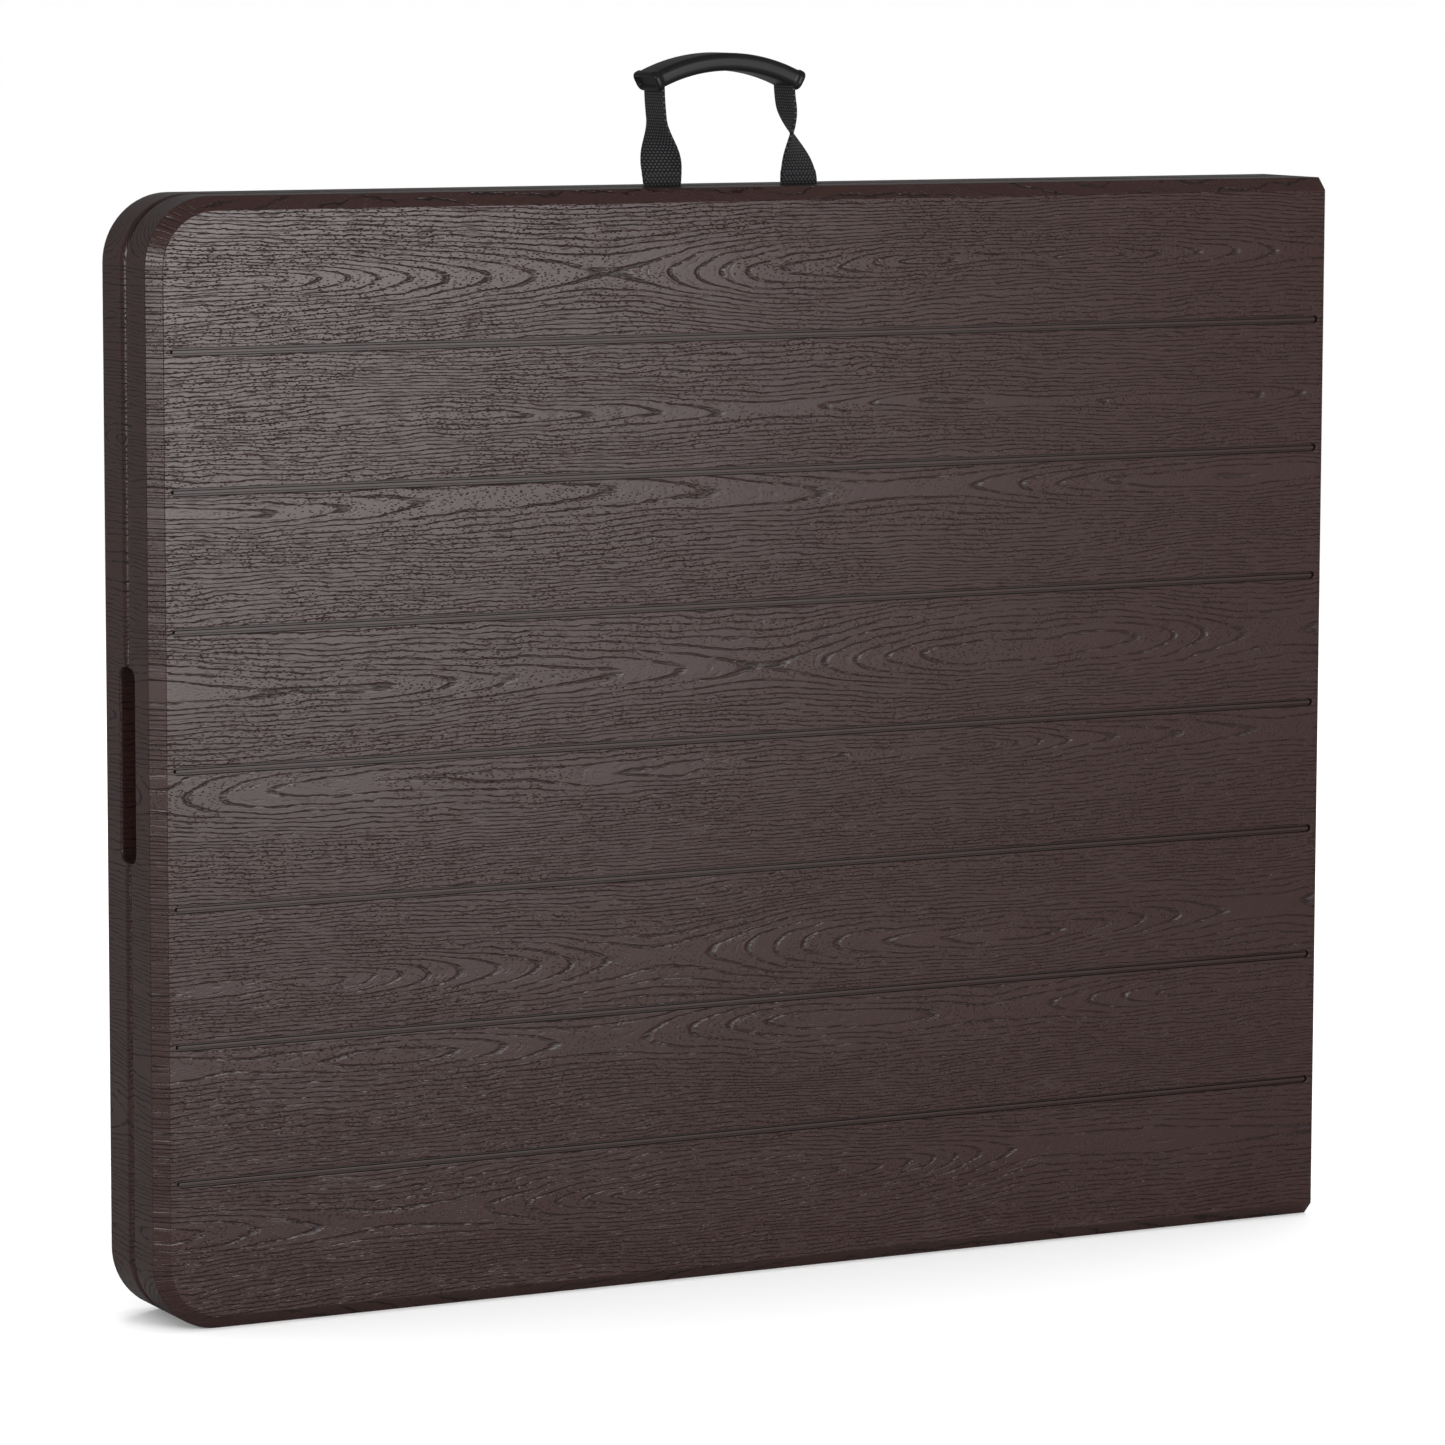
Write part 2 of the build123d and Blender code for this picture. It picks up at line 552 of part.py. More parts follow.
def arch(r0, r1, reach, d0, d1, mode=Mode.ADD):
    """A curved band about the grip's centre, between two radii, as far out as reach each way."""
    tilt = asin(reach / GRIP_R)
    with BuildSketch(Plane.XZ.offset(d0)) as band:
        with BuildLine():
            points = [[(GRIP_X + s * r * sin(tilt), GRIP_Z + r * cos(tilt)) for s in (-1, 1)]
                      for r in (r0, r1)]
            tops = [(GRIP_X, GRIP_Z + r) for r in (r0, r1)]
            ThreePointArc(points[0][0], tops[0], points[0][1])
            Line(points[0][1], points[1][1])
            ThreePointArc(points[1][1], tops[1], points[1][0])
            Line(points[1][0], points[0][0])
        make_face()
    extrude(band.sketch, amount=d1 - d0, mode=mode)


with BuildPart() as webbing:
    half_t = STRAP_T / 2
    leg_top = GRIP_Z + sqrt(GRIP_R**2 - TOP_HALF**2)
    arch(GRIP_R - half_t, GRIP_R + half_t, TOP_HALF, STRAP_D0, STRAP_D0 + STRAP_WIDTH)
    for base, top in zip(STRAP_BASE_X, STRAP_TOP_X):
        width = (base - STRAP_WIDTH / 2, base + STRAP_WIDTH / 2)
        block(width, (STRAP_DEPTH - half_t, STRAP_DEPTH + half_t), (STRAP_FOLD_Z, STRAP_TURN_Z))
        across = (STRAP_D0, STRAP_D0 + STRAP_WIDTH)
        block((top - half_t, top + half_t), across, (STRAP_TURN_Z - 8, leg_top))
        along_x(width[0], width[1], STRAP_DEPTH, STRAP_FOLD_Z, half_t + TAB_FOLD_GAP, Mode.SUBTRACT)
write(webbing.part, "handle_webbing")

with BuildPart() as grip:
    d0 = STRAP_DEPTH - GRIP_WIDTH / 2
    arch(GRIP_R - GRIP_BELOW, GRIP_R + GRIP_ABOVE, GRIP_REACH, d0, d0 + GRIP_WIDTH)
    fillet(grip.edges().filter_by(GeomType.CIRCLE), radius=GRIP_EDGE_R)
    inside = (STRAP_D0 - GRIP_BORE_GAP, STRAP_D0 + STRAP_WIDTH + GRIP_BORE_GAP)
    half_gap = STRAP_T / 2 + GRIP_BORE_GAP
    arch(GRIP_R - half_gap, GRIP_R + half_gap, TOP_HALF + 2, inside[0], inside[1], Mode.SUBTRACT)
    for x in STRAP_TOP_X:
        block((x - half_gap, x + half_gap), inside, (STRAP_TURN_Z, leg_top), Mode.SUBTRACT)
write(grip.part, "handle_grip")

# ---- closing latch, inside the outer rim and reached through the finger slot
HOOK_BACK_X = HOOK_X + LATCH_T + LATCH_GAP
with BuildPart() as latch_hook:
    with BuildSketch(Plane.YZ.offset(HOOK_X)):
        with Locations((-LATCH_DEPTH, LATCH_Z + LATCH_REACH / 2 + 1)):
            SlotOverall(LATCH_REACH + LATCH_WIDTH + 2, LATCH_WIDTH, rotation=90)
        notch = (NOTCH_SHIFT[0] - LATCH_DEPTH, LATCH_Z + LATCH_REACH + NOTCH_SHIFT[1])
        with Locations(notch):
            Rectangle(NOTCH_WIDTH, NOTCH_LENGTH, mode=Mode.SUBTRACT)
        with Locations((-LATCH_DEPTH, LATCH_Z)):
            Circle(LATCH_PIN_R + FIT, mode=Mode.SUBTRACT)
    extrude(amount=LATCH_T)
write(latch_hook.part, "latch_hook")

with BuildPart() as latch_pivot:
    along_x(BAY_X0 - LATCH_SEAT, HOOK_BACK_X, LATCH_DEPTH, LATCH_Z, LATCH_PIN_R)
    along_x(HOOK_BACK_X, HOOK_BACK_X + 2, LATCH_DEPTH, LATCH_Z, LATCH_HEAD_R)
    along_x(BAY_X0, HOOK_X - LATCH_GAP, LATCH_DEPTH, LATCH_Z, LATCH_HEAD_R)
write(latch_pivot.part, "latch_pivot")

with BuildPart() as latch_keeper:
    stud_x = HOOK_X + LATCH_T + 1
    along_x(BAY_X0 - LATCH_SEAT, stud_x, -LATCH_DEPTH, LATCH_Z, STUD_R)
    along_x(stud_x, stud_x + 1.5, -LATCH_DEPTH, LATCH_Z, STUD_HEAD_R)
write(latch_keeper.part, "latch_keeper")
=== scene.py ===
import json
import math
import bmesh
import bpy
from mathutils import Matrix, Vector

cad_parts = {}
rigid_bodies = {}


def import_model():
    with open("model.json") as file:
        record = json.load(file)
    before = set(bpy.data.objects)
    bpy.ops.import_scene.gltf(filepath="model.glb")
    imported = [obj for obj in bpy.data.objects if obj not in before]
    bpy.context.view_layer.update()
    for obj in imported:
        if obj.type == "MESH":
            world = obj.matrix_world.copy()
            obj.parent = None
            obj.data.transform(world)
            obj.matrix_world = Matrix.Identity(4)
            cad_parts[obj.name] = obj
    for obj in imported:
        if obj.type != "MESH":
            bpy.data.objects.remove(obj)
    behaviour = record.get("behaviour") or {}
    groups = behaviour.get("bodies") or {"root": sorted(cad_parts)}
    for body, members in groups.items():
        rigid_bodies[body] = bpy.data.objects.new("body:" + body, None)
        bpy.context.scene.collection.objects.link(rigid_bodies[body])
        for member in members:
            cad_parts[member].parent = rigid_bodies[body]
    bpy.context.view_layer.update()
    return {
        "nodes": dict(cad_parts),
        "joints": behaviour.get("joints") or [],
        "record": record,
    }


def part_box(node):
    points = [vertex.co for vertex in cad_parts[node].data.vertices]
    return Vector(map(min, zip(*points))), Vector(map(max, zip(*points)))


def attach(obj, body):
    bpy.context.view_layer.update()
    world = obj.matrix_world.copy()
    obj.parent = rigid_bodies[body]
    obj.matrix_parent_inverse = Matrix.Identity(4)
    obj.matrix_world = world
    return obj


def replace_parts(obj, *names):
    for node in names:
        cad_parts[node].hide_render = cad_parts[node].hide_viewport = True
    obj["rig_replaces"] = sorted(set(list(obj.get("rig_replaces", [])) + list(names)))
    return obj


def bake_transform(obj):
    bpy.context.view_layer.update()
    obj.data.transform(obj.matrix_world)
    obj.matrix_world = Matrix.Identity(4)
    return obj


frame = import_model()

scene = bpy.context.scene
mm = 0.001

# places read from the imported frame
record = frame["record"]
panelLow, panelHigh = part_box("front_panel")
outerX = panelLow.x
endX = panelHigh.x
faceDepth = -panelLow.y
seamDepth = -panelHigh.y
tableWidth = panelHigh.z
joints = {j["name"]: j for j in frame["joints"]}
pivotX, pivotY = joints["front_leg_swing"]["pos_m"][:2]
crossX = joints["front_brace_swing"]["pos_m"][0]
bodyOf = {node: body for body, nodes in record["behaviour"]["bodies"].items() for node in nodes}
slotOf = {part["node"]: part["material_slot"] for part in record["subparts"]}
postInset = 0.135  # each post's centre from its long edge
postZ = (postInset, tableWidth - postInset)
halfSides = (("front", -1), ("rear", 1))
print("frame read,", len(bodyOf), "nodes")


def addObject(name, mesh):
    made = bpy.data.objects.new(name, mesh)
    scene.collection.objects.link(made)
    return made


def fromBmesh(name, bm, smooth=True):
    mesh = bpy.data.meshes.new(name)
    bm.to_mesh(mesh)
    bm.free()
    if smooth:
        mesh.polygons.foreach_set("use_smooth", [True] * len(mesh.polygons))
    return addObject(name, mesh)


def finished(piece):  # the piece with its modifiers made plain mesh
    graph = bpy.context.evaluated_depsgraph_get()
    mesh = bpy.data.meshes.new_from_object(piece.evaluated_get(graph))
    piece.modifiers.clear()
    piece.data = mesh
    return piece


def sharpen(mesh, degrees):  # edges above this angle stay sharp under smooth shading
    bm = bmesh.new()
    bm.from_mesh(mesh)
    for edge in bm.edges:
        if len(edge.link_faces) == 2 and edge.calc_face_angle(0) > math.radians(degrees):
            edge.smooth = False
    bm.to_mesh(mesh)
    bm.free()


def paint(piece, material):
    piece.data.materials.clear()
    piece.data.materials.append(material)


def handOver(piece, node):  # the piece stands in for this CAD node, in its body
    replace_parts(piece, node)
    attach(piece, bodyOf[node])


def bridge(bm, first, second):  # quads between two loops of the same length
    count = len(first)
    for k in range(count):
        n = (k + 1) % count
        bm.faces.new((first[k], first[n], second[n], second[k]))


def addNode(tree, kind, settings, sockets):  # settings first, then socket values or links
    made = tree.nodes.new(kind)
    for key, value in settings.items():
        if key == "stops":
            ramp = made.color_ramp.elements
            while len(ramp) < len(value):
                ramp.new(0.5)
            for element, (place, tone) in zip(ramp, value):
                element.position = place
                element.color = (tone, tone, tone, 1)
        else:
            setattr(made, key, value)
    for key, value in sockets.items():
        feed(tree, made.inputs[key], value)
    return made


def feed(tree, socket, value):
    if isinstance(value, Value):
        tree.links.new(value.socket, socket)
    elif isinstance(value, bpy.types.NodeSocket):
        tree.links.new(value, socket)
    else:
        socket.default_value = value


class Value:  # a shader socket that takes part in Python expressions
    def __init__(self, tree, socket):
        self.tree = tree
        self.socket = socket

    def math(self, operation, *others):
        sockets = dict(enumerate((self,) + others))
        made = addNode(self.tree, "ShaderNodeMath", {"operation": operation}, sockets)
        return Value(self.tree, made.outputs[0])

    def step(self, low, high):  # 0 below low, 1 above high, smooth between
        sockets = {"Value": self, "From Min": low, "From Max": high}
        made = addNode(self.tree, "ShaderNodeMapRange", {"interpolation_type": "SMOOTHSTEP"}, sockets)
        return Value(self.tree, made.outputs[0])

    def __add__(self, other):
        return self.math("ADD", other)

    def __radd__(self, other):
        return self.math("ADD", other)

    def __sub__(self, other):
        return self.math("SUBTRACT", other)

    def __rsub__(self, other):
        return (self * -1.0) + other

    def __mul__(self, other):
        return self.math("MULTIPLY", other)

    def __rmul__(self, other):
        return self.math("MULTIPLY", other)

    def __truediv__(self, other):
        return self.math("DIVIDE", other)


class Finish:  # one material and the few calls that build its nodes
    def __init__(self, name, colour, roughness, **fixed):
        self.material = bpy.data.materials.new(name)
        self.material.use_nodes = True
        self.tree = self.material.node_tree
        self.shader = self.tree.nodes["Principled BSDF"]
        self.shader.inputs["Base Color"].default_value = (*colour, 1)
        self.shader.inputs["Roughness"].default_value = roughness
        for key, value in fixed.items():
            self.shader.inputs[key.replace("_", " ")].default_value = value

    def node(self, kind, settings=None, output=0, **sockets):
        plainNames = {key.replace("_", " "): value for key, value in sockets.items()}
        made = addNode(self.tree, kind, settings or {}, plainNames)
        return Value(self.tree, made.outputs[output])

    def place(self, output="Object"):
        return self.node("ShaderNodeTexCoord", output=output)

    def split(self, vector):
        made = addNode(self.tree, "ShaderNodeSeparateXYZ", {}, {0: vector})
        return [Value(self.tree, s) for s in made.outputs]

    def join(self, x, y, z):
        return self.node("ShaderNodeCombineXYZ", X=x, Y=y, Z=z)

    def noise(self, vector, scale, detail=2.0, roughness=0.5, output=0):
        return self.node("ShaderNodeTexNoise", output=output, Vector=vector, Scale=scale,
                         Detail=detail, Roughness=roughness)

    def mix(self, factor, first, second):
        tones = [c if isinstance(c, Value) else (*c, 1) for c in (first, second)]
        sockets = {0: factor, 6: tones[0], 7: tones[1]}
        made = addNode(self.tree, "ShaderNodeMix", {"data_type": "RGBA"}, sockets)
        return Value(self.tree, made.outputs[2])

    def colour(self, value):
        feed(self.tree, self.shader.inputs["Base Color"], value)

    def rough(self, value):
        feed(self.tree, self.shader.inputs["Roughness"], value)

    def bump(self, height, distance, strength=1.0):
        normal = self.node("ShaderNodeBump", Height=height, Distance=distance, Strength=strength)
        feed(self.tree, self.shader.inputs["Normal"], normal)


mouldedTop = {
    # the cut tone is a painted shade: the base colour scaled down in the cut grain lines and grooves
    "colour": (0.0185, 0.0080, 0.0070), "worn": (0.0218, 0.0104, 0.0093), "cutTone": 0.35,
    "roughness": 0.27, "shine": 0.25, "linePitch": 2.7, "relief": 0.00062,
    "plankShift": 70.0, "bend": 22.0, "wave": 6.0, "ragged": 1.5, "heart": 70.0, "heartLevel": 0.36,
    # how long and how tall each kind of mark is, in millimetres
    "bendSpan": (300, 60), "waveSpan": (40, 12), "raggedSpan": (6.0, 1.5), "heartSpan": 330,
    "brokenSpan": (15, 2.2), "streakSpan": (17, 0.85), "threadSpan": (7.5, 0.42),
    "patchSpan": (80, 22), "poreSpan": (3.4, 1.25), "speckScale": 1100, "cloudScale": 5.0,
}


def makeTopPlastic():
    size = mouldedTop
    f = Finish("mouldedTop", size["colour"], size["roughness"], Specular_IOR_Level=size["shine"])
    x, y, z = f.split(f.place())
    nx, nz = f.split(f.place("Normal"))[::2]
    depth = (y.math("ABSOLUTE") - faceDepth) * 1000
    across = z * 1000 + depth * nz
    along = x * 1000 + depth * nx
    plankPitch = (tableWidth * 1000 - 2 * panelSize["bevel"]) / panelSize["planks"]
    plank = ((across - panelSize["bevel"]) / plankPitch).math("FLOOR")
    seedR, seedG, seedB = f.split(f.node("ShaderNodeTexWhiteNoise", {"noise_dimensions": "1D"},
                                         output=1, W=plank + y.math("SIGN") * 31.0))

    def marks(span, over, seed, detail, roughness=0.5):  # noise stretched along the plank
        spot = f.join(along / size[span][0], over / size[span][1], seed)
        return f.noise(spot, 1.0, detail, roughness)

    bendLong, bendTall = size["bendSpan"]
    bend = f.noise(f.join(along / bendLong + seedR * 40, across / bendTall, seedG * 30), 1.0, 1.0) - 0.5
    wave = marks("waveSpan", across, seedB * 20, 1.5) - 0.5
    ragged = marks("raggedSpan", across, seedR, 1.5) - 0.5
    middle = (plank + 0.5) * plankPitch + panelSize["bevel"] + (seedG - 0.5) * size["plankShift"]
    offset = across - middle + bend * size["bend"] + wave * size["wave"] + ragged * size["ragged"]
    swell = f.noise(f.join(along / size["heartSpan"] + seedB * 50, 3.0, seedR * 9), 1.0, 0.5)
    heart = (swell - size["heartLevel"]) * size["heart"]
    spread = (offset * offset + heart * heart).math("SQRT")  # distance from the heart of the figure
    nearLine = (spread / size["linePitch"]).math("PINGPONG", 0.5) * 2
    cut = nearLine.step(0.02, 0.27)
    broken = marks("brokenSpan", across, seedB, 2.5).step(0.38, 0.56)
    streak = marks("streakSpan", spread, seedG * 40, 2.0, 0.6)
    thread = marks("threadSpan", spread, seedR * 40, 1.0)
    patchy = marks("patchSpan", across, seedG * 5, 2.0).step(0.36, 0.60)
    poreLong, poreTall = size["poreSpan"]
    pores = f.node("ShaderNodeTexVoronoi", {"feature": "F1"}, Scale=1.0,
                   Vector=f.join(along / poreLong, across / poreTall, y * 800)).step(0.08, 0.34)
    lines = (1 - cut) * (broken * 0.75 + 0.25)
    valleys = 1 - streak.step(0.30, 0.44)
    height = thread * 0.05 - lines - valleys * 0.14 - (1 - pores) * (patchy * 0.6 + 0.10)
    # plain surfaces have no grain, and are also darkened as painted shade in the groove slits and the hollow
    # underside
    plain = f.node("ShaderNodeAttribute", {"attribute_name": "plain"}, output=2)
    keep = 1 - plain
    speck = f.noise(f.place(), size["speckScale"], 1.0)
    f.bump(height * keep + speck * 0.04, size["relief"])
    # painted shade: the base colour darkens in the low parts of the relief, the cut grain lines, valleys and
    # pores, and on plain surfaces
    deep = (lines * 0.9 + valleys * 0.2 + (1 - pores) * patchy * 0.2) * keep + plain * 0.3
    cloudy = f.noise(f.place(), size["cloudScale"], 3.0)
    dark = tuple(c * size["cutTone"] for c in size["colour"])
    f.colour(f.mix(deep, f.mix(cloudy, size["colour"], size["worn"]), dark))
    f.rough(size["roughness"] + cloudy * 0.05 + deep * 0.14 + plain * 0.05)
    return f.material


powderCoat = {"colour": (0.010, 0.010, 0.011), "rubbed": (0.022, 0.0215, 0.022), "roughness": 0.42}
zincPlate = {"colour": (0.46, 0.46, 0.45), "dull": (0.30, 0.30, 0.31), "roughness": 0.34}
fittingPlastic = {"colour": (0.007, 0.007, 0.008), "paler": 1.9, "roughness": 0.5}
footRubber = {"colour": (0.016, 0.016, 0.017), "dusty": (0.045, 0.042, 0.040), "roughness": 0.78}
# the strap's thread colour is a painted highlight on the raised weave dots
strapCloth = {"colour": (0.0022, 0.0022, 0.0024), "thread": (0.042, 0.042, 0.045), "roughness": 0.50,
              "dotWide": 2.8, "dotTall": 2.0, "ridge": 0.5, "relief": 0.00060}
strapMap = 100  # millimetres of strap in one unit of its UV map
sleevePlastic = {"colour": (0.0040, 0.0040, 0.0044), "paler": 1.7, "roughness": 0.30}
stitchCotton = {"colour": (0.012, 0.012, 0.013), "lit": (0.034, 0.034, 0.037), "roughness": 0.55}


def makePowderCoat():
    size = powderCoat
    f = Finish("powderCoat", size["colour"], size["roughness"], Specular_IOR_Level=0.32)
    peel = f.noise(f.place(), 700, 2.0)
    dust = f.noise(f.place(), 22, 4.0, 0.6)
    f.bump(peel + dust * 0.3, 0.00012, 0.8)
    f.colour(f.mix(dust.step(0.45, 0.75), size["colour"], size["rubbed"]))
    f.rough(size["roughness"] + dust * 0.16 - peel * 0.06)
    return f.material


def makeZincPlate():
    size = zincPlate
    f = Finish("zincPlate", size["colour"], size["roughness"], Metallic=1.0)
    spangle = f.node("ShaderNodeTexVoronoi", {"feature": "F1"}, output=1, Vector=f.place(), Scale=420)
    tone = f.split(spangle)[0]
    haze = f.noise(f.place(), 60, 4.0, 0.6)
    scratch = f.noise(f.place(), 1500, 1.0)
    f.colour(f.mix(haze * 0.6 + tone * 0.3, size["colour"], size["dull"]))
    f.rough(size["roughness"] + haze * 0.2 + tone * 0.06 - 0.08)
    f.bump(haze + scratch * 0.3, 0.00005, 0.7)
    return f.material


def makeFittingPlastic():
    size = fittingPlastic
    f = Finish("fittingPlastic", size["colour"], size["roughness"], Specular_IOR_Level=0.28)
    spark = f.node("ShaderNodeTexVoronoi", {"feature": "F1"}, Vector=f.place(), Scale=1600)
    cloud = f.noise(f.place(), 35, 3.0)
    f.bump(spark, 0.00008, 0.7)
    f.colour(f.mix(cloud, size["colour"], tuple(c * size["paler"] for c in size["colour"])))
    f.rough(size["roughness"] + cloud * 0.12 - 0.05)
    return f.material


def makeFootRubber():
    size = footRubber
    f = Finish("footRubber", size["colour"], size["roughness"], Specular_IOR_Level=0.3)
    dust = f.noise(f.place(), 90, 5.0, 0.65)
    f.bump(f.noise(f.place(), 1300, 2.0) + dust * 0.4, 0.00012, 0.8)
    f.colour(f.mix(dust.step(0.45, 0.7), size["colour"], size["dusty"]))
    f.rough(size["roughness"] + dust * 0.14)
    return f.material


def makeStrapCloth():
    size = strapCloth
    f = Finish("strapCloth", size["colour"], size["roughness"], Specular_IOR_Level=0.10,
               Sheen_Weight=0.02, Sheen_Roughness=0.5)
    u, v = f.split(f.place("UV"))[:2]
    row = v * strapMap / size["dotTall"]
    column = u * strapMap / size["dotWide"] + row.math("FLOOR") * 0.5
    dotAcross = (column.math("PINGPONG", 0.5) * 2).step(0.12, 0.85)
    dotAlong = (row.math("PINGPONG", 0.5) * 2).step(0.05, 0.8)
    ridge = ((u * strapMap / size["ridge"]).math("PINGPONG", 0.5) * 2).step(0.1, 0.9)
    fuzz = f.noise(f.place(), 2600, 3.0, 0.7)
    dots = dotAcross * dotAlong
    f.bump(dots + ridge * 0.18 + fuzz * 0.3, size["relief"])
    # painted highlight: the raised weave dots are coloured towards the paler thread colour, with a little
    # random fuzz
    f.colour(f.mix(dots * 0.85 + fuzz * 0.1, size["colour"], size["thread"]))
    f.rough(size["roughness"] + fuzz * 0.15 - dots * 0.12)
    return f.material


def makeStitchThread():
    size = stitchCotton
    f = Finish("stitchThread", size["colour"], size["roughness"], Specular_IOR_Level=0.2)
    twist = f.noise(f.place(), 3200, 2.0)
    f.colour(f.mix(twist, size["colour"], size["lit"]))
    f.bump(twist, 0.00008)
    return f.material


def makeSleevePlastic():
    size = sleevePlastic
    f = Finish("sleevePlastic", size["colour"], size["roughness"], Specular_IOR_Level=0.14)
    cloud = f.noise(f.place(), 45, 3.0)
    hair = f.noise(f.place(), 900, 2.0)
    f.bump(hair * 0.5 + cloud, 0.00010, 0.5)
    f.colour(f.mix(cloud, size["colour"], tuple(c * size["paler"] for c in size["colour"])))
    f.rough(size["roughness"] + cloud * 0.12 + hair * 0.05)
    return f.material


finishes = {
    "frame_steel": makePowderCoat(), "plated_steel": makeZincPlate(),
    "black_plastic": makeFittingPlastic(), "foot_rubber": makeFootRubber(),
    "webbing": makeStrapCloth(), "grip_plastic": makeSleevePlastic(),
}
stitchThread = makeStitchThread()
print("finishes made")


panelSize = {
    "bevel": 9.0, "bevelRound": 1.4, "cornerRadius": 46.0, "seamFillet": 6.0, "planks": 8,
    "rim": 20.0, "hingeRim": 40.0, "deck": 6.0, "arcSteps": 16,
    "grooveHalf": 2.5, "grooveMargin": 5.0, "grooveArc": 8, "hingeRound": 0.5, "endRound": 0.7,
    "slotHalfLength": 65.0, "slotDeep": 12.0, "slotRound": 8.0, "slotLip": 2.0,
    "strapNotch": 29.0, "strapNotchDeep": 2.8, "leafHeight": 40.0, "leafDeep": 2.55, "leafPlay": 0.2,
    "pocketRadius": 6.1, "pinHalf": 21.5, "tabHalf": 14.0, "floorFillet": 3.0, "rollSteps": 7,
    # where the rings have points: even steps, and extra ones beside notch, hinge leaf and finger slot
    "longSteps": 30, "sideSteps": 24, "hingeSteps": 26, "slotClear": 9, "leafClear": 25,
    "notchSteps": (-0.05, 0.05, 0.8, 3), "leafSteps": (-0.05, 0.05, 1.95, 2.05),
    "slotSteps": (-6, -2, -1.5, -0.9, -0.35, -0.03, 0.03, 0.25, 0.8, 1.7, 3.0, 4.8, 6.4, 8),
    # outline of one groove: how far outside its half width, how deep, and how plain, where plain also means
    # darker by painted shade
    "groove": ((0.55, 0.0, 0.2), (0.25, 0.12, 0.6), (0.05, 0.5, 1.0), (0.0, 3.5, 1.0),
               (-1.30, 3.5, 1.0), (-1.38, 1.2, 1.0), (-1.55, 0.85, 1.0), (-1.85, 0.75, 1.0)),
}
pinLow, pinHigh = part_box("hinge_pins")
railZ = [pinLow.z * 1000 + panelSize["pinHalf"], pinHigh.z * 1000 - panelSize["pinHalf"]]
tabLow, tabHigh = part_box("handle_tabs")
tabX = [tabLow.x * 1000 + panelSize["tabHalf"], tabHigh.x * 1000 - panelSize["tabHalf"]]


def slotDrop(z):  # how far the finger slot lowers the rim at this height
    size = panelSize
    inside = size["slotHalfLength"] - abs(z - tableWidth * 500)
    lip, curve, deep = size["slotLip"], size["slotRound"], size["slotDeep"]
    if inside <= -lip:
        return 0.0
    if inside <= 0:
        return lip - math.sqrt(max(lip * lip - (inside + lip) ** 2, 0))
    if inside < curve:
        return deep - curve + math.sqrt(curve * curve - (curve - inside) ** 2)
    return deep


def between(low, high, count):  # even steps from low to high, without the two ends
    return [low + (high - low) * i / count for i in range(1, count)]


def outlineSamples(hasHandle):  # places that every ring of the shell passes through
    size = panelSize
    width = tableWidth * 1000
    left, right = outerX * 1000, endX * 1000
    r = size["cornerRadius"]
    long = between(left + r, right, size["longSteps"])
    top = list(long)
    if hasHandle:
        for x in tabX:
            half = size["strapNotch"] / 2
            top += [x + s * (half + d) for s in (-1, 1) for d in size["notchSteps"]]
    middle, half = width / 2, size["slotHalfLength"]
    side = between(r, width - r, size["sideSteps"])
    side = [z for z in side if abs(abs(z - middle) - half) > size["slotClear"]]
    side += [middle + s * (half - d) for s in (-1, 1) for d in size["slotSteps"]]
    hinge = between(0, width, size["hingeSteps"])
    for z in railZ:
        hinge = [h for h in hinge if abs(h - z) > size["leafClear"]]
        half = size["leafHeight"] / 2 + size["leafPlay"]
        hinge += [z + s * (half + d) for s in (-1, 1) for d in size["leafSteps"]] + [z]
    return sorted(long, reverse=True), sorted(side), sorted(top), sorted(hinge, reverse=True)


def shellRing(samples, inset, hingeInset, depthAt, hingeAt=None):  # one closed loop round the half
    size = panelSize
    width = tableWidth * 1000
    left, right = outerX * 1000 + inset, endX * 1000 - hingeInset
    bottom, side, top, hinge = samples
    r = max(size["cornerRadius"] - inset, 1.0)
    points = [(right, inset, "bottom")]
    points += [(x, inset, "bottom") for x in bottom]
    for k in range(size["arcSteps"] + 1):
        a = math.pi / 2 * k / size["arcSteps"]
        points.append((left + r - r * math.sin(a), inset + r - r * math.cos(a), "side"))
    points += [(left, z, "side") for z in side]
    for k in range(size["arcSteps"] + 1):
        a = math.pi / 2 * k / size["arcSteps"]
        points.append((left + r - r * math.cos(a), width - inset - r + r * math.sin(a), "side"))
    points += [(x, width - inset, "top") for x in top]
    points.append((right, width - inset, "hinge"))
    points += [(right, z, "hinge") for z in hinge]
    made = []
    for x, z, part in points:
        xx, depth = x, depthAt(x, z, part)
        if part == "hinge" and hingeAt:
            moved = hingeAt(z)
            if moved:
                xx, depth = endX * 1000 - moved[0], moved[1]
        made.append((xx, depth, z))
    return made


